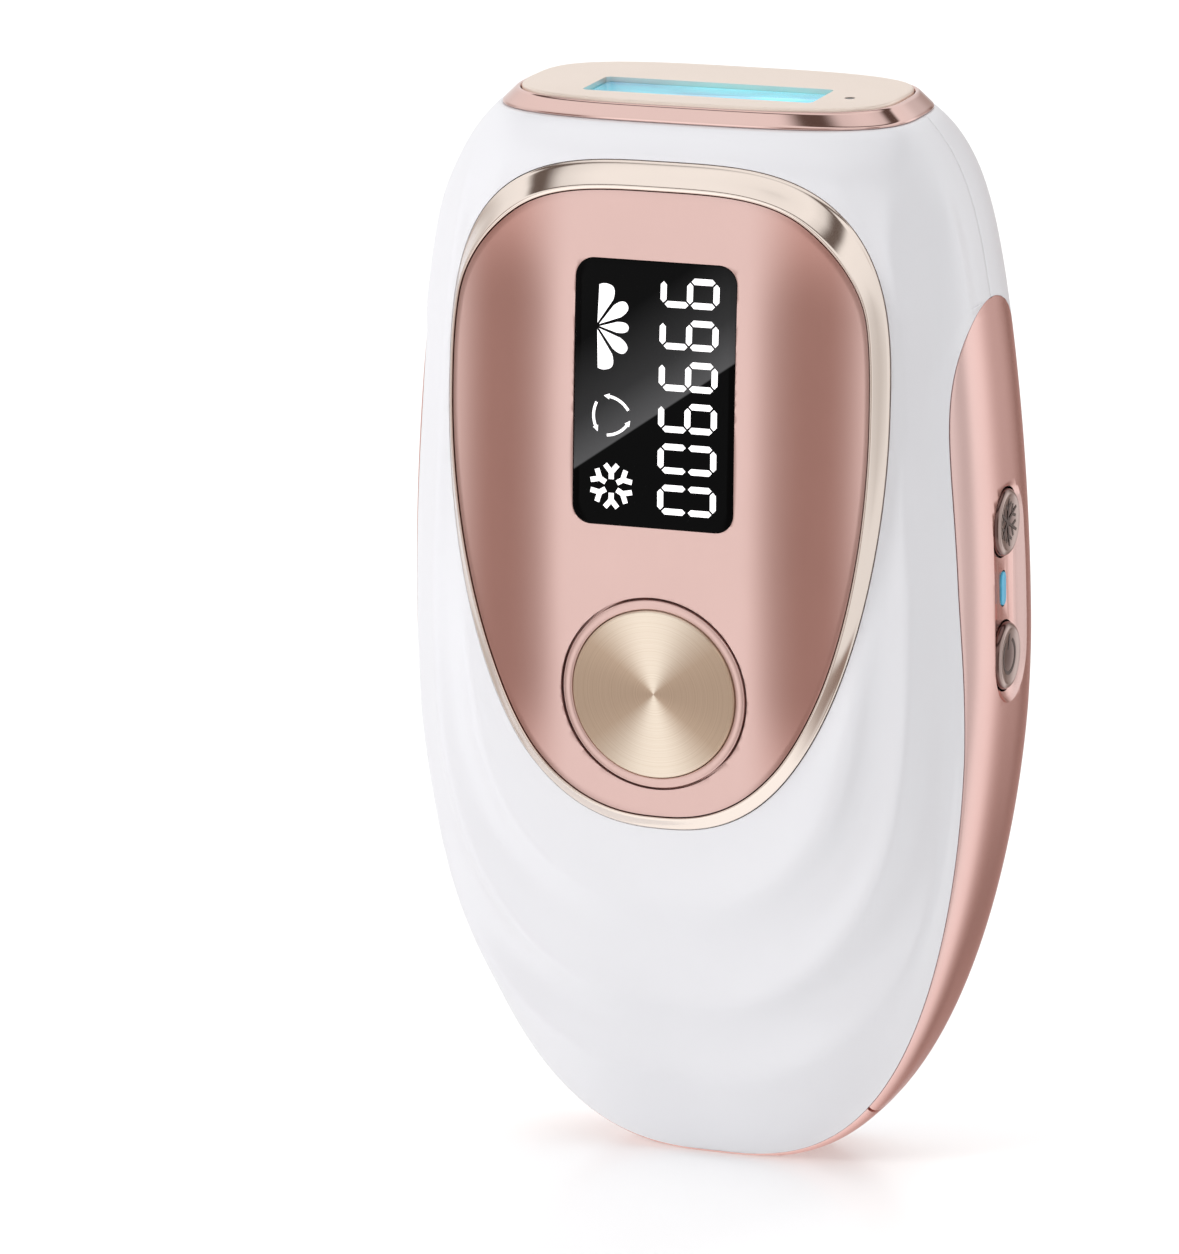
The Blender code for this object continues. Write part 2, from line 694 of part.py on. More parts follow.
def make_lamp():
    y = WINDOW_Y
    make("filter_glass", *bar((-19, y - 6.5, 151.4), (19, y + 6.5, 152.9), 0.6), ICE, 0.0, 0.05)
    profile = [(-11.3, 139.6), (3.9, 139.6), (3.9, 151.1)]
    for k in range(9):
        u = 1 - 2 * k / 8
        profile.append((y + 6.0 * u, 141.0 + 10.1 * u * u))
    profile.append((-11.3, 151.1))
    make("lamp_reflector", *prism(np.array(profile), -20, 20, "x"), METAL, 1.0, 0.1)
    tube = turned([(0, -20.0), (2.0, -20.0), (2.0, 20.0), (0, 20.0)], "x", (0, y, 146.0), 20)
    make("flash_lamp", *tube, CERAMIC, 0.0, 0.05)
    for name, sign in (("lamp_cap_left", -1), ("lamp_cap_right", 1)):
        profile = [(0, sign * 20.3), (3.6, sign * 20.3), (3.6, sign * 25.0), (0, sign * 25.0)]
        make(name, *turned(profile, "x", (0, y, 146.0), 20), CERAMIC)


def make_cooling():
    make("cold_plate", *bar((-18, 4.2, 128), (18, 6.2, 157.4), 0.4), COPPER, 1.0, 0.3)
    make("peltier_module", *bar((-12, 6.5, 129), (12, 9.3, 147)), CERAMIC)
    sink = [(-16, 9.6), (16, 9.6)]
    fins = 7
    pitch = 32 / (fins - 0.5)
    for k in range(fins):
        right = 16 - k * pitch
        left = right - pitch / 2
        sink.append((right, 17.2))
        sink.append((left, 17.2))
        if k < fins - 1:
            sink.append((left, 12.0))
            sink.append((left - pitch / 2, 12.0))
    make("heatsink", *prism(np.array(sink), 110, 146, "z"), METAL, 1.0, 0.4)
    low = (-FAN_HALF, FAN_BACK_Y, FAN_CENTRE[2] - FAN_HALF)
    high = (FAN_HALF, FAN_BACK_Y + FAN_THICK, FAN_CENTRE[2] + FAN_HALF)
    frame = make("fan_frame", *bar(low, high), BLACK)
    bore = circle(13.9, 36, (0, FAN_CENTRE[2]))
    cut(frame, cutter("fan_bore_cut", *prism(bore, FAN_BACK_Y + 1.5, 40, "y")))
    for k in range(6):
        angle = math.pi * k / 3
        centre = (9.6 * math.cos(angle), FAN_CENTRE[2] + 9.6 * math.sin(angle))
        cut(frame, cutter(f"fan_inlet_cut_{k}", *prism(circle(3.4, 14, centre), 5, 16, "y")))
    post = turned(
        [(0, FAN_BACK_Y + 1.0), (1.0, FAN_BACK_Y + 1.0), (1.0, 18.0), (0, 18.0)], "y", (0, 0, FAN_CENTRE[2]), 16
    )
    join(frame, cutter("fan_post_join", *post))
    outline = []
    vanes = 7
    for k in range(vanes):
        base = 2 * math.pi * k / vanes
        for radius, turn in ((6.4, 0.0), (13.2, 0.42), (13.3, 0.53), (6.4, 0.24), (6.4, 0.45), (6.4, 0.67)):
            angle = base + turn
            outline.append((radius * math.cos(angle), FAN_CENTRE[2] + radius * math.sin(angle)))
    blades = prism(np.array(outline), 13.9, 21.0, "y")
    rotor = make("fan_rotor", *blades, GREY, origin=(0, 13.9, FAN_CENTRE[2]))
    bearing = circle(1.07, 16, (0, FAN_CENTRE[2]))
    cut(rotor, cutter("rotor_bore_cut", *prism(bearing, 10, 18.4, "y")))


def make_grille():
    outline = rounded_rect(GRILLE_HALF_X - GAP, GRILLE_HALF_Z - GAP, 6.7, 3) + (0, FAN_CENTRE[2])
    points, faces = dished_plate(
        outline,
        lambda x, z: body_y(x, z, 1) + 0.1,
        lambda x, z: body_y(x, z, 1) - 1.5,
        (0, FAN_CENTRE[2]),
    )
    grille = make("vent_grille", points, faces, ROSE, 0.6, 0.4)
    for k in range(6):
        z = FAN_CENTRE[2] - 12.5 + 5.0 * k
        half = 11.5 if 0 < k < 5 else 8.5
        slot = rounded_rect(half, 1.2, 1.1, 1) + (0, z)
        cut(grille, cutter(f"vent_cut_{k}", *prism(slot, 15, 40, "y")))


def make_inner():
    half = np.array([(22, 14.3), (30, 30), (34.9, 62), (34.9, 108), (31, 125.5)], float)
    outline = np.vstack([half, half[::-1] * (-1, 1)])
    chassis = make("chassis", *prism(outline, *CHASSIS_Y, "y"), GREY)
    board = rounded_rect(24.0, 39.0, 2.0, 1) + (0, 99.0)
    board_back = BOARD_FRONT_Y + BOARD_THICK
    main = make("main_board", *prism(board, BOARD_FRONT_Y, board_back, "y"), GREEN)
    number = 1
    for x in (-SCREW_X, SCREW_X):
        for z in SCREW_ZS:
            top = board_back + GAP
            post = [(0, -8.0), (1.65, -8.0), (1.65, top), (3.2, top), (3.2, -1.4), (0, -1.4)]
            join(chassis, cutter(f"standoff_join_{number}", *turned(post, "y", (x, 0, z), 14)))
            hole = prism(circle(1.65, 14, (x, z)), -25, -15, "y")
            cut(main, cutter(f"board_hole_cut_{number}", *hole))
            head = BOARD_FRONT_Y - GAP
            profile = [
                (0, head - 1.3),
                (1.0, head - 1.3),
                (1.5, head - 1.8),
                (2.4, head - 1.4),
                (2.7, head),
                (1.3, head),
                (1.3, head + 9.0),
                (0, head + 9.6),
            ]
            make(f"screw_{number}", *turned(profile, "y", (x, 0, z), 16), METAL, 1.0, 0.3)
            number += 1
    for name, x in (("capacitor_left", -9.3), ("capacitor_right", 9.3)):
        can = turned([(0, 32), (7.0, 32), (7.5, 32.6), (7.5, 66.4), (6.6, 67), (0, 67)], "z", (x, 8.0, 0), 24)
        make(name, *can, BLACK, 0.3, 0.4)
    make("transformer", *bar((-11, -15, 28), (11, -2.3, 46), 1.5), GREY)
    coil = turned([(0, -18.0), (6.0, -18.0), (6.0, -6.0), (0, -6.0)], "y", (-11.0, 0, 92), 20)
    make("trigger_coil", *coil, COPPER, 0.8, 0.4)
    jack = [
        (0, 14.0),
        (JACK_R, 14.0),
        (JACK_R, 0.4),
        (3.3, 0.4),
        (3.3, 11.0),
        (0.7, 11.0),
        (0.7, 5.8),
        (0, 5.4),
    ]
    make("dc_jack", *turned(jack, "z", (0, 0, 0), 28), BLACK)


clear_scene()
make_shells()
make_strips()
make_bottom_cap()
make_bezel_and_panel()
make_display()
make_flash_button()
make_side_keys()
make_head()
make_lamp()
make_cooling()
make_grille()
make_inner()
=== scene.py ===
"""Looks for the handheld IPL hair remover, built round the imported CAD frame."""

import math

import bmesh
import bpy
import numpy as np
from mathutils import Matrix, Vector


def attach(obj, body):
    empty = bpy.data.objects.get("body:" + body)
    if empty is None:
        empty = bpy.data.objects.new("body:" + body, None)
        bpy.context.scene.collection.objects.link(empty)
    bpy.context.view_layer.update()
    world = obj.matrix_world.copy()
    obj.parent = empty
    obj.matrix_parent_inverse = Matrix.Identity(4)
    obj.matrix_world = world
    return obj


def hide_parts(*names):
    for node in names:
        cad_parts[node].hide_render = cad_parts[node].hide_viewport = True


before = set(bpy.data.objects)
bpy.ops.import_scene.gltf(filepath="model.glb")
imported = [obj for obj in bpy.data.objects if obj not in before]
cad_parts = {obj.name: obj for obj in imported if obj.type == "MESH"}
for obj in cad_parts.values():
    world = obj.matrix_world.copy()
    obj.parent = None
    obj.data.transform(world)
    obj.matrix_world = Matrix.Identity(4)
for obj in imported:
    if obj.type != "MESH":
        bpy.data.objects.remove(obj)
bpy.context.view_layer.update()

# Lengths are in millimetres, from the middle of the body's foot. SHIFT is where the frame has that point.
MM = 0.001
GAP = 0.3
SETBACK = GAP / 2 - 0.05
SHIFT = np.array((0.08, 1.72, 0.0))

BODY_TOP = 156.96
RING_POWER = 3.161
HALF_WIDTH = 44.436
WIDEST_Z = 80.583
FRONT_DEPTH = 28.667
REAR_DEPTH = 26.008
DEEPEST_Z = 67.403
SHELL_TOP_Z = 156.6
STRIP_HALF = 16.1
STRIP_FOOT_HALF = 7.5
STRIP_WIDEST_Z = 92.0
STRIP_END_Z = 131.0
STRIP_LOW_Z = 10.3
STRIP_TIP_ROWS = (129.2, 129.8, 130.3, 130.6, 130.8)
SHELL_WALL = 2.1
STRIP_WALL = 3.1
BEZEL_HALF = 33.6
BEZEL_WIDEST_Z = 118.0
BEZEL_LOW_Z = 55.8
BEZEL_TOP_Z = 152.3
DISPLAY_Z = 119.77
DISPLAY_HALF = (12.16, 18.99)
BUTTON_Z = 76.3
BUTTON_R = 12.4
BUTTON_FACE_Y = -29.45
RECESS_FLOOR_X = 43.0
RECESS_Z = (71.1, 104.5)
RECESS_Y = -0.3
RECESS_HALF = 7.25
RECESS_SCOOP = (
    (2.6, 42.95), (4.4, 43.03), (5.4, 43.2), (6.1, 43.5), (6.7, 43.92), (RECESS_HALF, 44.5), (7.3, 50.0),
)
KEY_R = 5.0
KEY_FACE_X = 44.1
ICE_KEY_Z = 98.0
POWER_KEY_Z = 78.1
LED_Z = 88.1
PLATE_HALF = (28.43, 13.99)
PLATE_POWER = 3.2
PLATE_TOP_Z = 159.52
WINDOW_Y = -3.76
WINDOW_HALF = (17.41, 4.82)
GRILLE_HALF = (15.5, 17.5)
GRILLE_Z = 91.0
CREST_TURN_Z = 92.0
CRESTS = ((29.8, 44.0), (36.2, 28.0), (42.0, 15.5))


# ---------------------------------------------------------------- shape rules


def half_width(z):
    z = np.asarray(z, float)
    low = np.clip((WIDEST_Z - z) / (WIDEST_Z + 1.2), 0, 1)
    high = np.clip((z - WIDEST_Z) / (BODY_TOP - WIDEST_Z), 0, 1)
    below = (1 - low**1.833) ** (1 / 2.76)
    above = (1 - 0.158 * high**2) * np.sqrt(1 - (0.894 * high) ** 11.058)
    return HALF_WIDTH * np.where(z < WIDEST_Z, below, above)


def body_depth(z, side):
    z = np.asarray(z, float)
    low = np.clip((DEEPEST_Z - z) / (DEEPEST_Z + 2.0), 0, 1)
    high = np.clip((z - DEEPEST_Z) / (BODY_TOP - DEEPEST_Z), 0, 1)
    below = (1 - low**1.229) ** (1 / 2.363)
    above = (1 - 0.231 * high**2) * np.sqrt(1 - (0.956 * high) ** 18.312)
    return (FRONT_DEPTH if side < 0 else REAR_DEPTH) * np.where(z < DEEPEST_Z, below, above)


def body_y(x, z, side):
    inside = np.clip(1 - (np.abs(x) / half_width(z)) ** RING_POWER, 0, 1)
    return side * body_depth(z, side) * inside ** (1 / RING_POWER)


def body_normals(points, side):
    x, y, z = points.T
    n = RING_POWER
    a, b = half_width(z), body_depth(z, side)
    step = 0.05
    slope_a = (half_width(z + step) - half_width(z - step)) / (2 * step)
    slope_b = (body_depth(z + step, side) - body_depth(z - step, side)) / (2 * step)
    ax, by = np.abs(x) / a, np.abs(y) / b
    out = np.stack(
        [
            np.sign(x) * ax ** (n - 1) / a,
            np.sign(y) * by ** (n - 1) / b,
            -(ax**n * slope_a / a + by**n * slope_b / b),
        ],
        axis=1,
    )
    return out / np.linalg.norm(out, axis=1)[:, None]


def seam_half(z):
    z = np.asarray(z, float)
    below = np.clip((STRIP_WIDEST_Z - z) / STRIP_WIDEST_Z, 0, 1)
    above = np.clip((z - STRIP_WIDEST_Z) / (STRIP_END_Z - STRIP_WIDEST_Z), 0, 1)
    low = STRIP_HALF - (STRIP_HALF - STRIP_FOOT_HALF) * below**1.43
    return np.where(z < STRIP_WIDEST_Z, low, STRIP_HALF * (1 - above**5.33) ** (1 / 1.91))


def bezel_half(z):
    below = np.clip((BEZEL_WIDEST_Z - z) / (BEZEL_WIDEST_Z - BEZEL_LOW_Z), 0, 1)
    above = np.clip((z - BEZEL_WIDEST_Z) / (BEZEL_TOP_Z - BEZEL_WIDEST_Z), 0, 1)
    low = (1 - below**1.94) ** (1 / 2.46)
    return BEZEL_HALF * np.where(z < BEZEL_WIDEST_Z, low, (1 - above**2.89) ** (1 / 3.32))


def smooth(t):
    t = np.clip(t, 0, 1)
    return t * t * (3 - 2 * t)


def face_y(x, z):
    """Front panel: a flat middle, a soft fall on both sides, and a flatter rim."""
    middle = 29.15 - 2.57 * (np.abs(z - 74.56) / 50) ** 1.925
    ends = smooth((z - 58) / 22) * smooth((150 - z) / 20)
    return -(middle - (0.35 + 1.75 * ends) * smooth((np.abs(x) - 13.5) / 19))


def outside_bezel(x, z):
    """1 well outside the bezel, falling to 0 at its edge."""
    down = np.clip((BEZEL_WIDEST_Z - z) / (BEZEL_WIDEST_Z - BEZEL_LOW_Z), 0, None)
    rise = np.clip((z - BEZEL_WIDEST_Z) / (BEZEL_TOP_Z - BEZEL_WIDEST_Z), 0, None)
    across = np.abs(x) / BEZEL_HALF
    level = np.where(rise > 0, across**3.32 + rise**2.89, across**2.46 + down**1.94)
    return smooth((level - 1) / 0.2)


def ripple(x, y, z):
    """Height of the front shell's folds: ridges beside the bezel that curl under it, and hollows between."""
    outs = []
    for half, low in CRESTS:
        fall = np.clip(CREST_TURN_Z - z, 0, None) / (CREST_TURN_Z - low)
        reach = (np.abs(x) / (half - 0.075 * np.clip(z - CREST_TURN_Z, 0, None))) ** 2.2 + fall**3
        outs.append((reach**0.4 - 1) * half / 0.88)
    first, second, third = outs
    away = np.select(
        [first < 0, second < 0, third < 0],
        [
            np.clip(1 + first / 9, 0, 1),
            np.abs(1 - 2 * first / np.maximum(first - second, 1e-6)),
            np.abs(1 - 2 * second / np.maximum(second - third, 1e-6)),
        ],
        np.clip(1 - third / 7, 0, 1),
    )
    height = 0.62 + 1.0 * smooth((CREST_TURN_Z - z) / 50)
    middle = 0.6 + 0.4 * smooth(np.abs(x) / 14)
    seam = np.where(z < STRIP_END_Z, seam_half(np.minimum(z, STRIP_END_Z)), 5.0)
    fade = smooth((np.abs(y) - seam - 0.3) / 4.5) * smooth((155 - z) / 14) * outside_bezel(x, z)
    return (away**2 - 0.2 * away**10) * height * middle * fade


# ---------------------------------------------------------------- mesh helpers


def resample(points, count, closed):
    points = np.asarray(points, float)
    if closed:
        points = np.vstack([points, points[:1]])
    length = np.concatenate([[0], np.cumsum(np.linalg.norm(np.diff(points, axis=0), axis=1))])
    at = np.linspace(0, length[-1], count + 1)[:-1] if closed else np.linspace(0, length[-1], count)
    return np.stack([np.interp(at, length, points[:, i]) for i in range(points.shape[1])], axis=1)


def polar(degrees):
    """Unit vector at this angle."""
    angle = math.radians(degrees)
    return np.array((math.cos(angle), math.sin(angle)))


def superellipse(a, b, power, count):
    t = np.linspace(0, 2 * np.pi, 2880, endpoint=False)
    x = a * np.sign(np.cos(t)) * np.abs(np.cos(t)) ** (2 / power)
    y = b * np.sign(np.sin(t)) * np.abs(np.sin(t)) ** (2 / power)
    return resample(np.stack([x, y], axis=1), count, True)


def rounded_rect(half_x, half_y, radius, per_corner=10):
    points = []
    for sx, sy, start in ((1, 1, 0), (-1, 1, 90), (-1, -1, 180), (1, -1, 270)):
        corner = np.array((sx * (half_x - radius), sy * (half_y - radius)))
        for k in range(per_corner + 1):
            points.append(corner + radius * polar(start + 90 * k / per_corner))
    return np.array(points)


def circle(radius, count=96, centre=(0.0, 0.0)):
    t = np.linspace(0, 2 * np.pi, count, endpoint=False)
    return np.stack([centre[0] + radius * np.cos(t), centre[1] + radius * np.sin(t)], axis=1)


def stadium(half_x, low_z, high_z, per_end=28):
    t = np.linspace(0, np.pi, per_end + 1)
    top = np.stack([half_x * np.cos(t), high_z - half_x + half_x * np.sin(t)], axis=1)
    low = np.stack([-half_x * np.cos(t), low_z + half_x - half_x * np.sin(t)], axis=1)
    return np.vstack([top, low])


def bezel_outline(count=320):
    z = BEZEL_LOW_Z + (BEZEL_TOP_Z - BEZEL_LOW_Z) * (1 - np.cos(np.linspace(0, np.pi, 1400))) / 2
    right = np.stack([bezel_half(z), z], axis=1)
    return resample(np.vstack([right, right[::-1][1:-1] * (-1, 1)]), count, True)


def inset(outline, distance):
    ahead = np.roll(outline, -1, axis=0) - np.roll(outline, 1, axis=0)
    normal = np.stack([ahead[:, 1], -ahead[:, 0]], axis=1)
    normal /= np.linalg.norm(normal, axis=1)[:, None]
    return outline - normal * np.asarray(distance).reshape(-1, 1)


def bezel_width(outline):
    z = outline[:, 1]
    return 1.8 + 1.8 * smooth((z - 132) / 16) + 0.35 * np.clip((66 - z) / 9, 0, 1)


def place(loop, level, axis):
    u, v = loop[:, 0], loop[:, 1]
    w = np.full(len(loop), float(level))
    return np.stack({"x": (w, u, v), "y": (u, w, v), "z": (u, v, w)}[axis], axis=1)


def make(name, points, faces, angle=35):
    """A clean mesh object from points in the shape's own millimetres."""
    mesh = bpy.data.meshes.new(name)
    placed = (np.asarray(points, float) + SHIFT) * MM
    mesh.from_pydata(placed.tolist(), [], [tuple(int(i) for i in f) for f in faces])
    work = bmesh.new()
    work.from_mesh(mesh)
    bmesh.ops.remove_doubles(work, verts=work.verts, dist=3e-6)
    bmesh.ops.dissolve_degenerate(work, edges=work.edges, dist=1e-6)
    bmesh.ops.recalc_face_normals(work, faces=work.faces)
    work.to_mesh(mesh)
    work.free()
    obj = bpy.data.objects.new(name, mesh)
    bpy.context.scene.collection.objects.link(obj)
    mesh.shade_smooth()
    mesh.set_sharp_from_angle(angle=math.radians(angle))
    return obj


def band(a, b, count):
    """Quads between two closed loops of points, which start at a and at b."""
    ends = [(j, (j + 1) % count) for j in range(count)]
    return [(a + j, a + k, b + k, b + j) for j, k in ends]


def loft(loops, close=True):
    """A closed solid through loops, or its side wall alone."""
    count = len(loops[0])
    last = (len(loops) - 1) * count
    faces = [tuple(range(count))[::-1], tuple(range(last, last + count))] if close else []
    for start in range(0, last, count):
        faces += band(start, start + count, count)
    return np.vstack(loops), faces


def sweep_ring(loops):
    """A ring whose section runs through the loops and back to the first."""
    count = len(loops[0])
    points, faces = loft(loops, close=False)
    return points, faces + band((len(loops) - 1) * count, 0, count)


def prism(loop, low, high, axis):
    return loft([place(loop, low, axis), place(loop, high, axis)])


def turned(profile, axis, centre, count=96):
    centre = np.asarray(centre, float)
    points, rows, faces = [], [], []
    for radius, level in profile:
        rows.append((len(points), 1 if radius < 1e-6 else count))
        loop = np.zeros((1, 2)) if radius < 1e-6 else circle(radius, count)
        points.extend(place(loop, level, axis) + centre)
    for (a, na), (b, nb) in zip(rows, rows[1:]):
        for j in range(count):
            k = (j + 1) % count
            if na == 1:
                faces.append((a, b + j, b + k))
            elif nb == 1:
                faces.append((a + j, b, a + k))
            else:
                faces.append((a + j, b + j, b + k, a + k))
    return np.array(points), faces


def thick_patch(outer, inner):
    """A closed shell between two grids of points."""
    rows, cols, _ = outer.shape
    shift = rows * cols
    faces = []
    for i in range(rows - 1):
        for j in range(cols - 1):
            a = i * cols + j
            faces.append((a, a + 1, a + cols + 1, a + cols))
            faces.append((a + shift, a + cols + shift, a + cols + 1 + shift, a + 1 + shift))
    around = [(0, j) for j in range(cols)] + [(i, cols - 1) for i in range(1, rows)]
    around += [(rows - 1, j) for j in range(cols - 2, -1, -1)] + [(i, 0) for i in range(rows - 2, 0, -1)]
    index = [i * cols + j for i, j in around]
    for a, b in zip(index, index[1:] + index[:1]):
        faces.append((a, a + shift, b + shift, b))
    return np.vstack([outer.reshape(-1, 3), inner.reshape(-1, 3)]), faces


def moved(surface, by):
    """The surface shifted along y."""
    return lambda x, z: surface(x, z) + by


def dished_plate(outline, front, back, middle, rings):
    """A plate of this outline between two curved faces."""
    middle = np.asarray(middle, float)
    loops = [middle + (outline - middle) * s for s in np.linspace(1, 0, rings, endpoint=False)]
    count = len(outline)
    points = []
    for surface in (front, back):
        for ring in loops:
            points.append(np.stack([ring[:, 0], surface(ring[:, 0], ring[:, 1]), ring[:, 1]], axis=1))
        points.append(np.array([[middle[0], float(surface(middle[:1], middle[1:])[0]), middle[1]]]))
    side = len(loops) * count + 1
    faces = []
    for s in (0, side):
        last = s + (len(loops) - 1) * count
        for a in range(s, last, count):
            faces += band(a, a + count, count)
        for j in range(count):
            faces.append((last + j, last + (j + 1) % count, s + side - 1))
    for j in range(count):
        k = (j + 1) % count
        faces.append((j, side + j, side + k, k))
    return np.vstack(points), faces


def apply_modifiers(obj):
    graph = bpy.context.evaluated_depsgraph_get()
    mesh = bpy.data.meshes.new_from_object(obj.evaluated_get(graph))
    obj.modifiers.clear()
    obj.data = mesh


def carve(obj, *cutters):
    """Cuts the cutters out of obj for good, and removes them."""
    for cutter in cutters:
        cut = obj.modifiers.new("cut", "BOOLEAN")
        cut.operation = "DIFFERENCE"
        cut.solver = "EXACT"
        cut.object = cutter
    apply_modifiers(obj)
    for cutter in cutters:
        bpy.data.objects.remove(cutter)


def soften(obj, width, segments=3, angle=40):
    """Rounds the sharp edges of a piece."""
    bevel = obj.modifiers.new("edge_round", "BEVEL")
    bevel.width = width * MM
    bevel.segments = segments
    bevel.limit_method = "ANGLE"
    bevel.angle_limit = math.radians(angle)
    apply_modifiers(obj)
    obj.data.shade_smooth()
    obj.data.set_sharp_from_angle(angle=math.radians(50))
    return obj


# ---------------------------------------------------------------- materials


def maths(tree, operation, *values):
    """A maths node fed by sockets and plain numbers."""
    made = tree.nodes.new("ShaderNodeMath")
    made.operation = operation
    for socket, value in zip(made.inputs, values):
        if isinstance(value, (int, float)):
            socket.default_value = value
        else:
            tree.links.new(value, socket)
    return made.outputs["Value"]


def ramp(tree, source, stops, ease="EASE"):
    """Colours blended along a value, from (position, colour) pairs."""
    made = tree.nodes.new("ShaderNodeValToRGB")
    made.color_ramp.interpolation = ease
    elements = made.color_ramp.elements
    while len(elements) < len(stops):
        elements.new(0.5)
    for element, (position, shade) in zip(elements, stops):
        element.position, element.color = position, (*shade, 1)
    tree.links.new(source, made.inputs["Fac"])
    return made.outputs["Color"]


class Shader:
    """Short-hand for building one material's nodes."""

    def __init__(self, name, **sockets):
        self.material = bpy.data.materials.new(name)
        self.material.use_nodes = True
        self.tree = self.material.node_tree
        self.out = self.tree.nodes["Principled BSDF"]
        for key, value in sockets.items():
            socket = self.out.inputs[key.replace("_", " ")]
            socket.default_value = (*value, 1) if isinstance(value, tuple) else value
        self.where = self.node("ShaderNodeTexCoord").outputs["Object"]

    def node(self, kind, **values):
        made = self.tree.nodes.new(kind)
        for key, value in values.items():
            setattr(made, key, value)
        return made

    def link(self, a, b):
        self.tree.links.new(a, b)

    def noise(self, scale, detail=3.0, stretch=(1, 1, 1), rough=0.5):
        mapping = self.node("ShaderNodeMapping")
        mapping.inputs["Scale"].default_value = stretch
        self.link(self.where, mapping.inputs["Vector"])
        noise = self.node("ShaderNodeTexNoise")
        noise.inputs["Scale"].default_value = scale
        noise.inputs["Detail"].default_value = detail
        noise.inputs["Roughness"].default_value = rough
        self.link(mapping.outputs["Vector"], noise.inputs["Vector"])
        return noise.outputs["Fac"]

    def spread(self, source, low, high, start=0.0, end=1.0):
        made = self.node("ShaderNodeMapRange")
        made.inputs["From Min"].default_value = start
        made.inputs["From Max"].default_value = end
        made.inputs["To Min"].default_value = low
        made.inputs["To Max"].default_value = high
        self.link(source, made.inputs["Value"])
        return made.outputs["Result"]

    def blend(self, source, a, b, start=0.3, end=0.7):
        return ramp(self.tree, source, ((start, a), (end, b)), "LINEAR")

    def axes(self, source=None):
        split = self.node("ShaderNodeSeparateXYZ")
        self.link(source or self.where, split.inputs["Vector"])
        return split.outputs

    def product(self, a, b):
        made = self.node("ShaderNodeMix", data_type="RGBA", blend_type="MULTIPLY")
        made.inputs["Factor"].default_value = 1
        self.link(a, made.inputs["A"])
        self.link(b, made.inputs["B"])
        return made.outputs["Result"]

    def color(self, source):
        self.link(source, self.out.inputs["Base Color"])

    def roughness(self, source, low, high):
        self.link(self.spread(source, low, high), self.out.inputs["Roughness"])

    def bump(self, source, strength, distance):
        made = self.node("ShaderNodeBump")
        made.inputs["Strength"].default_value = strength
        made.inputs["Distance"].default_value = distance * MM
        self.link(source, made.inputs["Height"])
        self.link(made.outputs["Normal"], self.out.inputs["Normal"])


def plain(name, low, high, rough, metallic=0.0, grain=900.0, bump=0.2, stretch=(1, 1, 1), **sockets):
    """A material with a two-tone colour drift, uneven roughness and a fine grain."""
    shader = Shader(name, Metallic=metallic, **sockets)
    shader.color(shader.blend(shader.noise(45, 4), low, high))
    fine = shader.noise(grain, 3, stretch)
    shader.roughness(fine, rough[0], rough[1])
    shader.bump(fine, bump, 0.02)
    return shader.material


def lit(name, glow, strength, roughness, grain, low, high):
    """A surface that glows in one colour over its own two-tone drift."""
    shader = Shader(name, Emission_Color=glow, Emission_Strength=strength, Roughness=roughness)
    shader.color(shader.blend(shader.noise(grain, 2), low, high))
    return shader.material


white = plain("white_gloss", (0.735, 0.738, 0.768), (0.75, 0.753, 0.783), (0.29, 0.33),
              grain=500, bump=0.01, Coat_Weight=0.2, Coat_Roughness=0.12)
rose_strip = plain("rose_satin_strip", (0.78, 0.555, 0.52), (0.81, 0.58, 0.545), (0.19, 0.23), 0.95,
                   grain=2500, bump=0.006, Specular_Tint=(0.81, 0.56, 0.52))
rose_ring = plain("rose_satin_ring", (0.74, 0.52, 0.475), (0.77, 0.54, 0.495), (0.29, 0.33), 0.9,
                  grain=2500, bump=0.006)
rose_chrome = plain("rose_chrome", (0.74, 0.52, 0.475), (0.77, 0.55, 0.505), (0.06, 0.09), 1.0,
                    grain=2500, bump=0.004)
champagne = plain("champagne_chrome", (0.84, 0.735, 0.66), (0.87, 0.765, 0.69), (0.10, 0.14), 1.0,
                  grain=2500, bump=0.004)
plate_metal = plain("champagne_plate", (0.88, 0.76, 0.67), (0.91, 0.79, 0.70), (0.36, 0.42), 0.8,
                    grain=3500, bump=0.02)
engraved = plain("engraved_mark", (0.09, 0.06, 0.052), (0.11, 0.075, 0.065), (0.5, 0.6), 0.3)
black_gloss = plain("black_gloss", (0.004, 0.004, 0.005), (0.008, 0.008, 0.009), (0.2, 0.3), bump=0.01)
glyph = lit("lit_segments", (0.97, 0.95, 0.96), 0.7, 0.5, 600, (0.85, 0.83, 0.84), (0.9, 0.88, 0.89))
led = lit("lit_guide", (0.06, 0.38, 0.55), 0.28, 0.25, 500, (0.05, 0.30, 0.48), (0.09, 0.38, 0.56))
black_plastic = plain("black_plastic", (0.018, 0.018, 0.02), (0.03, 0.03, 0.032), (0.4, 0.55), grain=1800)
grey_plastic = plain("grey_plastic", (0.20, 0.21, 0.23), (0.26, 0.27, 0.29), (0.4, 0.55),
                     grain=1500, bump=0.15)
board_green = plain("solder_mask", (0.015, 0.10, 0.04), (0.03, 0.16, 0.07), (0.25, 0.4), grain=500, bump=0.3)
aluminium = plain("milled_aluminium", (0.62, 0.63, 0.65), (0.70, 0.71, 0.73), (0.22, 0.34), 1.0,
                  bump=0.15, stretch=(0.1, 1, 1))
steel = plain("zinc_steel", (0.48, 0.48, 0.50), (0.58, 0.58, 0.60), (0.25, 0.38), 1.0, grain=1400, bump=0.15)
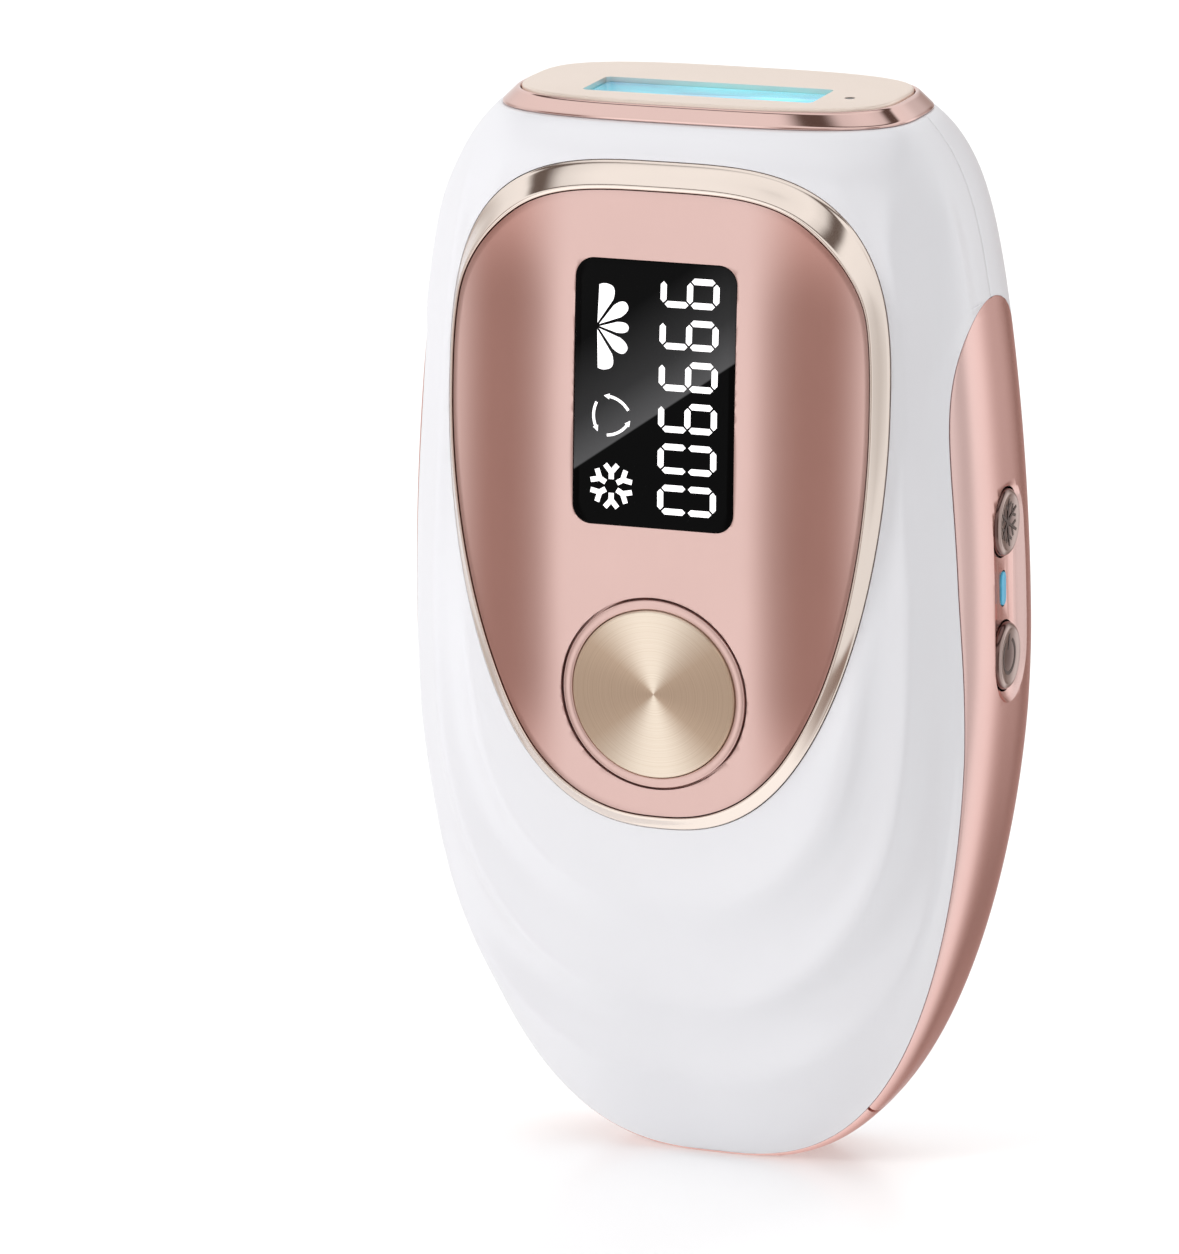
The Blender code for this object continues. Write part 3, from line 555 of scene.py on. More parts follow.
copper = plain("bare_copper", (0.62, 0.29, 0.16), (0.72, 0.36, 0.21), (0.22, 0.34), 1.0,
               grain=1100, bump=0.15)
ceramic = plain("ceramic", (0.80, 0.80, 0.76), (0.86, 0.86, 0.82), (0.45, 0.6), grain=1600, bump=0.15)
tube_glass = plain("lamp_glass", (0.85, 0.92, 0.94), (0.9, 0.95, 0.97), (0.03, 0.06), grain=300, bump=0.01,
                   Transmission_Weight=0.9, IOR=1.46)


def ice_material():
    # Painted glow: the crystal gives off its own cloudy cyan as light, though it is glass and no lamp.
    shader = Shader("ice_crystal", IOR=1.5, Emission_Strength=0.75, Coat_Weight=0.6)
    cloud = shader.noise(130, 5, (0.35, 1, 1), 0.6)
    tone = shader.blend(cloud, (0.0, 0.20, 0.36), (0.03, 0.56, 0.70), 0.35, 0.62)
    shader.color(tone)
    shader.link(tone, shader.out.inputs["Emission Color"])
    shader.roughness(cloud, 0.03, 0.08)
    shader.bump(cloud, 0.15, 0.1)
    return shader.material


ice = ice_material()


def panel_material():
    """Satin rose finish with a very fine upright grain, with painted shade: two deeper bands along the two
    falls of the panel.
    """
    shader = Shader("rose_satin_panel_painted_shade", Metallic=0.9)
    aside = maths(shader.tree, "ABSOLUTE", maths(shader.tree, "SUBTRACT", shader.axes()["X"], SHIFT[0] * MM))
    # Painted shade: the base colour deepens in two bands, set by distance from the panel's middle.
    painted_shade_tone = (0.60, 0.33, 0.285)
    shades = ((0.38, (0.76, 0.53, 0.49)), (0.69, painted_shade_tone), (0.75, painted_shade_tone), (0.97, (0.70, 0.48, 0.44)))
    tone = ramp(shader.tree, shader.spread(aside, 0, 1, 0, 0.0335), shades)
    drift = shader.blend(shader.noise(60, 4), (0.97, 0.97, 0.97), (1, 1, 1))
    shader.color(shader.product(tone, drift))
    grain = shader.noise(2400, 2, (1, 1, 0.05))
    shader.roughness(grain, 0.285, 0.315)
    shader.bump(grain, 0.01, 0.02)
    return shader.material


def lens_material():
    """Gloss black, with a painted reflection in its film: paler along a slanted line, fading to black toward
    the upper left.
    """
    shader = Shader("black_lens", Specular_IOR_Level=0.03)
    at = shader.axes()
    above = maths(shader.tree, "MULTIPLY_ADD", at["X"], -0.691, at["Z"])
    # Painted reflection: the paler stripe in these stops is put into the glass's base colour.
    painted_reflection_tones = ((0.0, 0.002), (0.014, 0.082), (0.35, 0.03), (0.9, 0.003))
    shades = [(position, (tone, tone, tone * 1.03)) for position, tone in painted_reflection_tones]
    shader.color(ramp(shader.tree, shader.spread(above, 0, 1, 116.6 * MM, 136.6 * MM), shades, "LINEAR"))
    fine = shader.noise(300, 2)
    shader.roughness(fine, 0.03, 0.05)
    shader.bump(fine, 0.005, 0.02)
    return shader.material


rose_panel = panel_material()


def key_bronze():
    """Polished bronze, with painted shade down the key's wall, which is darker than its face."""
    shader = Shader("bronze_key_painted_wall_shade", Metallic=1.0)
    top = (KEY_FACE_X + SHIFT[0]) * MM
    height = shader.spread(shader.axes()["X"], 0, 1, top - 0.8 * MM, top)
    # Painted shade: the base colour darkens from the key's face down its wall.
    shader.color(shader.blend(height, (0.15, 0.085, 0.075), (0.45, 0.345, 0.315), 0.5, 0.82))
    fine = shader.noise(2500, 3)
    shader.roughness(fine, 0.13, 0.17)
    shader.bump(fine, 0.006, 0.02)
    return shader.material


bronze = key_bronze()


def turned_metal():
    """Circular brushing round the button's own axis, with a painted highlight in an upright fan above and
    below its middle.
    """
    shader = Shader("turned_champagne", Metallic=1.0, Anisotropic=0.97, Anisotropic_Rotation=0.25)
    centred = shader.node("ShaderNodeVectorMath", operation="SUBTRACT")
    centred.inputs[1].default_value = tuple((np.array((0, 0, BUTTON_Z)) + SHIFT) * MM)
    shader.link(shader.where, centred.inputs[0])
    at = shader.axes(centred.outputs["Vector"])
    flat = shader.node("ShaderNodeCombineXYZ")
    shader.link(at["X"], flat.inputs["X"])
    shader.link(at["Z"], flat.inputs["Y"])
    radius = shader.node("ShaderNodeVectorMath", operation="LENGTH")
    shader.link(flat.outputs["Vector"], radius.inputs[0])
    lines = shader.node("ShaderNodeTexNoise", noise_dimensions="1D")
    lines.inputs["Scale"].default_value = 5200
    lines.inputs["Detail"].default_value = 3
    shader.link(radius.outputs["Value"], lines.inputs["W"])
    # Painted highlight: the base colour is paler above and below the button's middle, and darker to its
    # sides.
    upright = maths(shader.tree, "ABSOLUTE", maths(shader.tree, "DIVIDE", at["Z"], radius.outputs["Value"]))
    painted_highlight_fan = shader.blend(upright, (0.76, 0.67, 0.60), (1, 1, 1), 0.60, 0.98)
    turned_lines = shader.blend(lines.outputs["Fac"], (0.86, 0.73, 0.59), (0.95, 0.83, 0.70))
    shader.color(shader.product(painted_highlight_fan, turned_lines))
    shader.roughness(lines.outputs["Fac"], 0.34, 0.42)
    shader.bump(lines.outputs["Fac"], 0.04, 0.02)
    tangent = shader.node("ShaderNodeTangent", direction_type="RADIAL", axis="Y")
    shader.link(tangent.outputs["Tangent"], shader.out.inputs["Tangent"])
    return shader.material


def finish_piece(obj, material, slot, body, *nodes):
    """Gives a piece its material and its body, and the CAD nodes that it stands in for."""
    obj.data.materials.clear()
    obj.data.materials.append(material)
    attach(obj, body)
    if nodes:
        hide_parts(*nodes)


# ---------------------------------------------------------------- casing


def z_levels(low, high, step, edges=()):
    levels = np.linspace(low, high, int((high - low) / step) + 2)
    return np.unique(np.round(np.concatenate([levels, edges]), 4))


def side_share(side):
    """Width of the side strip on this side of its middle, as a share of the front's."""
    return 1.0 if side < 0 else REAR_DEPTH / FRONT_DEPTH


def skin_normal(x, y, z):
    return body_normals(np.array([(x, y if y else 1e-6, z)]), -1 if y < 0 else 1)[0]


def shell_grid(side, zs, columns):
    """Grid over one casing half. Columns that would run onto the side strip gather on its seam."""
    base = np.linspace(0, np.pi, 4000)
    x0 = np.sign(np.cos(base)) * np.abs(np.cos(base)) ** (2 / RING_POWER) * 43.0
    y0 = np.abs(np.sin(base)) ** (2 / RING_POWER) * 27.0
    length = np.concatenate([[0], np.cumsum(np.hypot(np.diff(x0), np.diff(y0)))])
    t = np.interp(np.linspace(0, length[-1], columns), length, base)
    rows = []
    for z in zs:
        a, b = float(half_width(z)), float(body_depth(z, side))
        edge = float(seam_half(z)) * side_share(side) + SETBACK if z < STRIP_END_Z else 0.03
        edge = min(edge, b * 0.998)
        start = math.asin((edge / b) ** (RING_POWER / 2))
        tt = np.clip(t, start, math.pi - start)
        x = a * np.sign(np.cos(tt)) * np.abs(np.cos(tt)) ** (2 / RING_POWER)
        y = side * b * np.abs(np.sin(tt)) ** (2 / RING_POWER)
        rows.append(np.column_stack([x, y, np.full(len(t), z)]))
    return np.array(rows)


def shell(side, name, node):
    close_rows = (0.8, 1.0, 1.4, 1.9, 2.5, 3.2, *STRIP_TIP_ROWS, 130.92, STRIP_END_Z)
    zs = z_levels(0.6, SHELL_TOP_Z, 1.15, close_rows)
    outer = shell_grid(side, zs, 150)
    flat = outer.reshape(-1, 3)
    normals = body_normals(flat, side)
    inner = (flat - SHELL_WALL * normals).reshape(outer.shape)
    if side < 0:
        flat = flat + normals * ripple(*flat.T)[:, None]
    outer = flat.reshape(outer.shape)
    neck = [outer[-1] * (0.985, 0.965, 1) + (0, 0, 0.1), outer[-1] * (0.9, 0.82, 1) + (0, 0, 0.1)]
    outer = np.concatenate([outer, neck])
    inner = np.concatenate([inner, [neck[0] - (0, 0, 2.2), neck[1] - (0, 0, 2.2)]])
    obj = make(name, *thick_patch(outer, inner))
    if side < 0:
        hole = inset(bezel_outline(220), -0.12)
        carve(obj, make("cut", *prism(hole, -45, -11, "y")))
    else:
        window = rounded_rect(*GRILLE_HALF, 7.0) + (0, GRILLE_Z)
        carve(obj, make("cut", *prism(window, 15, 40, "y")))
    soften(obj, 0.14, 2, 50)
    finish_piece(obj, white, "shell_white", "body", node)


def lowest_z(x, y):
    """Height of the body's underside here, by halving."""
    side = -1 if y < 0 else 1
    low, high = 0.0, 60.0
    for _ in range(44):
        middle = (low + high) / 2
        level = (abs(x) / float(half_width(middle))) ** RING_POWER
        level += (abs(y) / float(body_depth(middle, side))) ** RING_POWER
        low, high = (middle, high) if level > 1 else (low, middle)
    return high if high > 1e-6 else 0.0


def seam_x(z):
    share = float(seam_half(z)) / float(body_depth(z, -1))
    return float(half_width(z)) * (1 - share**RING_POWER) ** (1 / RING_POWER)


def strip(sign, name, node):
    zs = z_levels(STRIP_LOW_Z, 130.88, 1.5, STRIP_TIP_ROWS)
    outer, normals = [], []
    foot_x = seam_x(STRIP_LOW_Z) + 0.01
    for level in zs:
        half = float(seam_half(level)) - SETBACK
        row, out = [], []
        for v in np.linspace(-1, 1, 41):
            y = v * half * side_share(v)
            fade = float(np.clip((level - STRIP_LOW_Z) / 12, 0, 1))
            z = level - (STRIP_LOW_Z - lowest_z(foot_x, y)) * (1 - fade)
            b = float(body_depth(z, -1 if v < 0 else 1))
            x = sign * float(half_width(z)) * (1 - min(1, abs(y) / b) ** RING_POWER) ** (1 / RING_POWER)
            row.append((x, y, z))
            out.append(skin_normal(x, y, z))
        outer.append(row)
        normals.append(out)
    outer, normals = np.array(outer), np.array(normals)
    obj = make(name, *thick_patch(outer, outer - STRIP_WALL * normals))
    if sign > 0:
        rows = []
        for half, level in RECESS_SCOOP:
            short = RECESS_HALF - half - 0.05
            track = stadium(half, RECESS_Z[0] + short, RECESS_Z[1] - short)
            rows.append(place(track + (RECESS_Y * half / RECESS_HALF, 0), level, "x"))
        cuts = [make("cut", *loft(rows))]
        for z in (ICE_KEY_Z, POWER_KEY_Z):
            cuts.append(make("cut", *prism(circle(KEY_R + 0.25, 72, (0, z)), 36, 50, "x")))
        cuts.append(make("cut", *prism(rounded_rect(1.25, 2.7, 1.2, 8) + (0, LED_Z), 36, 50, "x")))
        carve(obj, *cuts)
    soften(obj, 0.3, 3, 40)
    finish_piece(obj, rose_strip, "rose_strip", "body", node)


def bottom_cap():
    end = seam_x(STRIP_LOW_Z) - GAP
    levels = np.concatenate([np.linspace(0.6, 6, 12), np.linspace(6.5, STRIP_LOW_Z, 8)])
    xs = [0.0, 1.5, 3.0, 4.5] + [seam_x(z) for z in levels if seam_x(z) < end - 0.2] + [end]
    xs = sorted(set(round(x, 4) for x in xs))
    zs = np.interp(xs, [seam_x(z) for z in levels], levels)
    outer, inner = [], []
    for x, level in [(-x, z) for x, z in zip(xs[:0:-1], zs[:0:-1])] + list(zip(xs, zs)):
        half = float(seam_half(level)) - SETBACK
        row, top = [], []
        for v in np.linspace(-1, 1, 33):
            y = v * half * side_share(v)
            z = lowest_z(x, y)
            out = skin_normal(x, y, z) if z > 0.02 else np.array((0, 0, -1.0))
            row.append((x, y, z))
            top.append(np.array((x, y, z)) - SHELL_WALL * out)
        outer.append(row)
        inner.append(top)
    obj = make("foot_cap", *thick_patch(np.array(outer), np.array(inner)))
    carve(obj, make("cut", *prism(circle(4.75, 72), -5, 9, "z")))
    soften(obj, 0.25, 2, 45)
    finish_piece(obj, rose_strip, "rose_strip", "body", "bottom_cap")


# ---------------------------------------------------------------- control face


def control_face():
    outline = bezel_outline()
    width = bezel_width(outline)
    shell_y = body_y(outline[:, 0], outline[:, 1], -1)
    inner = inset(outline, width)
    panel_y = face_y(inner[:, 0], inner[:, 1])
    rise = panel_y - shell_y
    sections = []
    for share, level in (
        (0.0, shell_y + 2.9),
        (0.0, shell_y - 0.05),
        (0.03, shell_y - 0.22),
        (0.09, shell_y - 0.34),
        (0.16, shell_y - 0.34 + 0.07 * rise),
        (0.5, shell_y - 0.25 + 0.52 * rise),
        (0.78, shell_y - 0.22 + 0.93 * rise),
        (0.86, panel_y - 0.26),
        (0.93, panel_y - 0.27),
        (0.98, panel_y - 0.18),
        (1.0, panel_y - 0.02),
        (1.0, panel_y + 2.4),
    ):
        loop = inset(outline, width * share)
        sections.append(np.stack([loop[:, 0], level, loop[:, 1]], axis=1))
    bezel = make("bezel_ring", *sweep_ring(sections), angle=60)
    finish_piece(bezel, champagne, "champagne_chrome", "body", "front_bezel")

    edge = inset(outline, width + 0.16)
    panel = make("control_panel", *dished_plate(edge, face_y, moved(face_y, 1.9), (0.0, 104.0), 44))
    lens_hole = rounded_rect(DISPLAY_HALF[0] + 0.12, DISPLAY_HALF[1] + 0.12, 2.8) + (0, DISPLAY_Z)
    carve(
        panel,
        make("cut", *prism(lens_hole, -45, -10, "y")),
        make("cut", *prism(circle(14.25, 128, (0, BUTTON_Z)), -45, -10, "y")),
    )
    soften(panel, 0.14, 2, 50)
    finish_piece(panel, rose_panel, "rose_panel", "body", "front_panel")

    def middle_line(x, z):
        return face_y(np.zeros_like(x), z)

    lens_shape = rounded_rect(*DISPLAY_HALF, 2.7) + (0, DISPLAY_Z)
    faces = (moved(middle_line, -0.08), moved(middle_line, 1.3))
    lens = make("display_glass", *dished_plate(lens_shape, *faces, (0.0, DISPLAY_Z), 10))
    soften(lens, 0.12, 2, 50)
    finish_piece(lens, lens_material(), "display_black", "body", "display_lens")
    signs = make("display_signs", *glyph_mesh(middle_line), angle=20)
    finish_piece(signs, glyph, None, "body")


def outline_prism(loops2d, surface, lift, depth):
    """Thin solids over flat (x, z) polygons, lying on a surface."""
    points, faces = [], []
    for loop in loops2d:
        loop = np.asarray(loop, float)
        start, count = len(points), len(loop)
        y = surface(loop[:, 0], loop[:, 1])
        points.extend(np.stack([loop[:, 0], y - lift, loop[:, 1]], axis=1).tolist())
        points.extend(np.stack([loop[:, 0], y - lift + depth, loop[:, 1]], axis=1).tolist())
        faces.append(tuple(range(start, start + count)))
        faces.append(tuple(range(start + 2 * count - 1, start + count - 1, -1)))
        for j in range(count):
            k = (j + 1) % count
            faces.append((start + j, start + count + j, start + count + k, start + k))
    return np.array(points), faces


def bar_frame(a, b, width):
    """Both ends of a bar, and half its width along it and across it."""
    a, b = np.array(a, float), np.array(b, float)
    along = (b - a) / np.linalg.norm(b - a) * width / 2
    return a, b, along, np.array((-along[1], along[0]))


def segment(a, b, width):
    """A seven-segment bar with pointed ends."""
    a, b, tip, across = bar_frame(a, b, width)
    return [a, a + tip + across, b - tip + across, b, b - tip - across, a + tip - across]


def stroke(a, b, width):
    a, b, _, across = bar_frame(a, b, width)
    return [a + across, a - across, b - across, b + across]


def digit(shape, centre):
    """One digit lying on its side: its up runs to -x and its left to -z, so it reads from below to above."""
    width, gap = 0.9, 0.2
    w, h = (4.3 - width) / 2, (8.9 - width) / 2
    ends = {
        "a": ((-w, h), (w, h)),
        "b": ((w, h), (w, 0)),
        "c": ((w, 0), (w, -h)),
        "d": ((-w, -h), (w, -h)),
        "e": ((-w, 0), (-w, -h)),
        "f": ((-w, h), (-w, 0)),
        "g": ((-w, 0), (w, 0)),
    }
    bars = []
    for name in shape:
        a, b, trim, _ = bar_frame(*ends[name], 2 * gap)
        bars.append([(centre[0] - p[1], centre[1] + p[0]) for p in segment(a + trim, b - trim, width)])
    return bars


def arc_band(centre, radius, width, start, end, count=14):
    ways = [polar(angle) for angle in np.linspace(start, end, count)]
    outer = [centre + (radius + width / 2) * way for way in ways]
    return outer + [centre + (radius - width / 2) * way for way in ways[::-1]]


def snowflake_bars(centre, radius, width):
    """Six arms, each with a pair of side twigs."""
    bars = []
    for angle in range(90, 450, 60):
        arm = radius * polar(angle)
        bars.append(stroke(centre, centre + arm, width))
        root = centre + 0.52 * arm
        for turn in (-52, 52):
            bars.append(stroke(root, root + 0.42 * radius * polar(angle + turn), width))
    return bars


def petals(centre):
    """Half a flower of five petals. The two outer ones are flat on the side away from the others."""
    loops = []
    for k, length in enumerate((6.3, 5.7, 4.9, 5.7, 6.3)):
        toward = -72 + 36 * k
        root = centre + 0.5 * polar(toward)
        loop = [root]
        for turn in np.linspace(-1, 1, 17):
            flat_side = k in (0, 4) and turn * (2 - k) < 0
            reach = length - 0.5 - (0.35 if flat_side else 1.7) * abs(turn) ** 2.6
            loop.append(root + reach * polar(toward + 16.2 * turn))
        loops.append(loop)
    return loops


def repeat_ring(centre):
    """Three flattened arcs that follow each other round, each with an arrow head."""
    radius, loops = 4.1, []
    for toward in (180, 300, 420):
        hub = centre - 1.5 * polar(toward)
        loops.append(arc_band(hub, radius, 0.4, toward - 27, toward + 24))
        out, ahead = polar(toward + 24), polar(toward + 114)
        at = hub + radius * out
        loops.append([at + ahead * 0.75, at + out * 0.42 - ahead * 0.1, at - out * 0.42 - ahead * 0.1])
    return loops


def cooling_sign(centre):
    """Six short arms that fork at their ends."""
    loops = []
    for angle in range(90, 450, 60):
        arm = polar(angle)
        fork = centre + 2.0 * arm
        loops.append(stroke(fork - arm, fork + arm * 0.25, 0.78))
        for turn in (-41.253, 41.253):
            prong = polar(angle + turn)
            loops.append(stroke(fork - prong * 0.1, fork + prong * 1.45, 0.74))
    return loops


def glyph_mesh(surface):
    """The display's lit signs: six digits in a row, with three symbols beside them."""
    loops = []
    for k in range(6):
        loops += digit("acdefg" if k < 4 else "abcdef", (5.2, DISPLAY_Z + 14.9 - 5.93 * k))
    loops += petals(np.array((-8.9, DISPLAY_Z + 9.4)))
    loops += repeat_ring(np.array((-6.5, DISPLAY_Z - 3.3)))
    loops += cooling_sign(np.array((-6.3, DISPLAY_Z - 13.4)))
    return outline_prism(loops, surface, 0.12, 0.05)


def flash_button():
    y = BUTTON_FACE_Y
    face = [(0, y + 0.3)] + [(r, y + 0.3 - 0.28 * (r / 12.0) ** 2) for r in np.linspace(0.25, 12.0, 44)]
    profile = face + [(12.12, y + 0.03), (12.24, y + 0.09), (12.33, y + 0.2), (BUTTON_R - 0.02, y + 0.4)]
    profile += [(BUTTON_R - 0.02, -25.0), (0, -25.0)]
    disc = make("flash_button_disc", *turned(profile, "y", (0, 0, BUTTON_Z), 160), angle=60)
    finish_piece(disc, turned_metal(), "champagne_satin", "flash_button_moving", "flash_button")
    ring = []
    for radius, level in (
        (12.48, -28.7),
        (12.5, -29.0),
        (12.58, -29.1),
        (12.72, -29.15),
        (13.72, -29.15),
        (13.84, -29.1),
        (13.9, -28.98),
        (13.92, -26.6),
        (15.3, -26.6),
        (15.3, -25.6),
        (12.7, -25.6),
    ):
        ring.append(place(circle(radius, 160, (0, BUTTON_Z)), level, "y"))
    surround = make("button_surround", *sweep_ring(ring), angle=50)
    finish_piece(surround, rose_ring, "rose_chrome", "body", "button_ring")


def key_face(r):
    """Level of a key's dished face, this far from the key's middle."""
    return KEY_FACE_X - 0.4 + 0.34 * (r / 4.0) ** 2


def side_keys():
    for name, node, body, z in (
        ("ice_key", "ice_button", "ice_button_moving", ICE_KEY_Z),
        ("power_key", "power_button", "power_button_moving", POWER_KEY_Z),
    ):
        profile = [(r, key_face(r)) for r in (0, *np.linspace(0.3, 4.0, 14))]
        rim = ((4.12, 0.01), (4.26, 0.02), (4.5, 0.12), (4.7, 0.28), (4.85, 0.5), (4.94, 0.75), (4.98, 1.0))
        profile += [(r, KEY_FACE_X - drop) for r, drop in rim]
        profile += [(KEY_R - 0.02, 40.2), (5.8, 40.2), (5.8, 39.7), (0, 39.7)]
        key = make(name, *turned(profile, "x", (0, 0, z), 96), angle=60)
        finish_piece(key, bronze, "key_bronze", body, node)
        if name == "ice_key":
            marks = snowflake_bars(np.array((0.0, z)), 3.5, 0.42)
        else:
            marks = [arc_band((0.0, z), 2.5, 0.5, 122, 418, 40), stroke((0, z + 0.9), (0, z + 3.3), 0.5)]
        points, faces = outline_prism(marks, lambda u, v: np.zeros_like(u), 0.0, 0.06)
        across, lift, up = points.T
        level = key_face(np.hypot(across, up - z)) + 0.03 - lift
        sign = make(name + "_sign", np.stack([level, across, up], axis=1), faces, angle=20)
        finish_piece(sign, engraved, None, body)
    guide = prism(rounded_rect(1.0, 2.45, 0.95, 8) + (0, LED_Z), 37.0, RECESS_FLOOR_X + 0.12, "x")
    finish_piece(soften(make("status_light", *guide), 0.12, 2, 40), led, "led_cyan", "body", "led_lens")


# ---------------------------------------------------------------- treatment head


def head():
    sections = []
    for a, b, z in (
        (31.1, 15.3, 156.72),
        (31.28, 15.4, 156.78),
        (31.34, 15.43, 156.9),
        (31.3, 15.4, 157.08),
        (31.12, 15.32, 157.28),
        (31.02, 15.278, 157.375),
        (29.55, 14.662, 158.765),
        (29.45, 14.62, 158.86),
        (29.25, 14.52, 159.0),
        (29.0, 14.4, 159.1),
        (28.75, 14.28, 159.08),
        (28.62, 14.2, 158.95),
        (28.6, 14.18, 157.8),
        (26.5, 12.3, 157.8),
        (26.5, 12.3, 156.72),
    ):
        sections.append(place(superellipse(a, b, PLATE_POWER, 260), z, "z"))
    collar = make("collar_ring", *sweep_ring(sections), angle=50)
    finish_piece(collar, rose_chrome, "rose_chrome", "body", "head_collar")
    loops = []
    rim = ((0.0, 158.05), (0.0, 159.2), (0.05, 159.36), (0.16, 159.46), (0.32, 159.51), (0.6, PLATE_TOP_Z))
    for shrink, z in rim:
        shape = superellipse(PLATE_HALF[0] - shrink, PLATE_HALF[1] - shrink, PLATE_POWER, 220)
        loops.append(place(shape, z, "z"))
    plate = make("contact_plate", *loft(loops))
    hole = rounded_rect(WINDOW_HALF[0] + 0.15, WINDOW_HALF[1] + 0.15, 0.9) + (0, WINDOW_Y)
    sensor = circle(0.75, 32, (21.6, WINDOW_Y))
    carve(plate, make("cut", *prism(hole, 150, 170, "z")), make("cut", *prism(sensor, 150, 170, "z")))
    plate.data.shade_smooth()
    plate.data.set_sharp_from_angle(angle=math.radians(40))
    finish_piece(plate, plate_metal, "plate_satin", "body", "head_plate")
    loops = []
    for shrink, z in ((0.0, 153.5), (0.0, 158.55), (0.12, 158.75), (0.35, 158.85)):
        shape = rounded_rect(WINDOW_HALF[0] - shrink, WINDOW_HALF[1] - shrink, 0.9)
        loops.append(place(shape + (0, WINDOW_Y), z, "z"))
    finish_piece(make("ice_crystal", *loft(loops)), ice, "ice_glass", "body", "ice_window")


def rear_grille():
    outline = rounded_rect(GRILLE_HALF[0] - 0.2, GRILLE_HALF[1] - 0.2, 6.8) + (0, GRILLE_Z)

    def rear_y(x, z):
        return body_y(x, z, 1)

    faces = (moved(rear_y, -0.05), moved(rear_y, -1.5))
    plate = make("rear_grille", *dished_plate(outline, *faces, (0.0, GRILLE_Z), 12))
    cuts = []
    for k in range(6):
        half = 11.5 if 0 < k < 5 else 8.5
        slot = rounded_rect(half, 1.2, 1.15, 6) + (0, GRILLE_Z - 12.5 + 5.0 * k)
        cuts.append(make("cut", *prism(slot, 15, 40, "y")))
    carve(plate, *cuts)
    soften(plate, 0.2, 2, 45)
    finish_piece(plate, rose_strip, "rose_strip", "body", "vent_grille")


shell(-1, "casing_front", "front_shell")
shell(1, "casing_rear", "rear_shell")
strip(1, "strip_with_keys", "side_strip_right")
strip(-1, "strip_plain", "side_strip_left")
bottom_cap()
control_face()
flash_button()
side_keys()
head()
rear_grille()

for material, nodes in (
    (grey_plastic, "display_module fan_rotor chassis transformer"),
    (black_plastic, "flash_switch ice_switch power_switch fan_frame capacitor_left capacitor_right dc_jack"),
    (black_gloss, "skin_sensor"),
    (board_green, "side_board main_board"),
    (ceramic, "crystal_holder lamp_cap_left lamp_cap_right peltier_module"),
    (tube_glass, "filter_glass flash_lamp"),
    (aluminium, "lamp_reflector heatsink"),
    (copper, "cold_plate trigger_coil"),
    (steel, "screw_1 screw_2 screw_3 screw_4"),
):
    for node in nodes.split():
        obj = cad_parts[node]
        obj.data.materials.clear()
        obj.data.materials.append(material)
        for polygon in obj.data.polygons:
            polygon.material_index = 0


# ---------------------------------------------------------------- studio

# The camera's place about the body's middle, its lens as a share of the picture's longer side, and how far
# it looks past the middle.
AZIMUTH, ELEVATION, ROLL = (math.radians(angle) for angle in (20.908, 15.125, -0.826))
DISTANCE = 1.1676
FOCAL_SHARE = 6.36515
AIM_RIGHT, AIM_UP = -0.0169759, -0.0010148


def direction(azimuth, elevation):
    """Unit vector from the object's middle, where azimuth 0 is the front."""
    flat = math.cos(elevation)
    return np.array((math.sin(azimuth) * flat, -math.cos(azimuth) * flat, math.sin(elevation)))


target = (np.array((0.0, 0.0, 80.0)) + SHIFT) * MM
back = direction(AZIMUTH, ELEVATION)
right = np.array((math.cos(AZIMUTH), math.sin(AZIMUTH), 0.0))
up = np.cross(back, right)
turned_right = math.cos(ROLL) * right + math.sin(ROLL) * up
turned_up = -math.sin(ROLL) * right + math.cos(ROLL) * up
aim = -back + turned_right * AIM_RIGHT + turned_up * AIM_UP
aim /= np.linalg.norm(aim)
side = turned_right - aim * (turned_right @ aim)
side /= np.linalg.norm(side)
top = np.cross(side, aim)

camera = bpy.data.objects.new("camera", bpy.data.cameras.new("camera"))
bpy.context.scene.collection.objects.link(camera)
camera.data.sensor_fit = "AUTO"
camera.data.sensor_width = 36.0
camera.data.lens = 36.0 * FOCAL_SHARE
camera.data.clip_start, camera.data.clip_end = 0.05, 50
place_at = target + back * DISTANCE
camera.matrix_world = Matrix((
    (side[0], top[0], -aim[0], place_at[0]),
    (side[1], top[1], -aim[1], place_at[1]),
    (side[2], top[2], -aim[2], place_at[2]),
    (0, 0, 0, 1),
))
bpy.context.scene.camera = camera


def area_light(name, azimuth, elevation, distance, size, power):
    """A soft box aimed at the object's middle. The polished pieces mirror only the world."""
    data = bpy.data.lights.new(name, "AREA")
    data.shape = "RECTANGLE"
    data.size, data.size_y = size
    data.energy = power
    obj = bpy.data.objects.new(name, data)
    bpy.context.scene.collection.objects.link(obj)
    way = Vector(direction(math.radians(azimuth), math.radians(elevation)))
    obj.location = Vector((0, 0, 0.09)) + distance * way
    obj.rotation_euler = (-way).to_track_quat("-Z", "Y").to_euler()
    obj.visible_glossy = False


area_light("key_box", -43, 24, 1.4, (0.3, 0.45), 7.4)
area_light("rear_box", 172, 48, 1.7, (1.6, 1.4), 10)

FLOOR_HALF = 4000
corners = [(x * FLOOR_HALF, y * FLOOR_HALF, -0.02) for x, y in ((-1, -1), (1, -1), (1, 1), (-1, 1))]
floor = make("floor", corners, [(0, 1, 2, 3)])
pale = Shader("pale_floor", Specular_IOR_Level=0.4, Emission_Color=(1.0, 1.0, 1.0), Emission_Strength=0.12)
pale.color(pale.blend(pale.noise(1.5, 1), (0.938, 0.938, 0.94), (0.944, 0.944, 0.946)))
pale.roughness(pale.noise(6, 2), 0.22, 0.26)
floor.data.materials.append(pale.material)
floor.visible_glossy = False

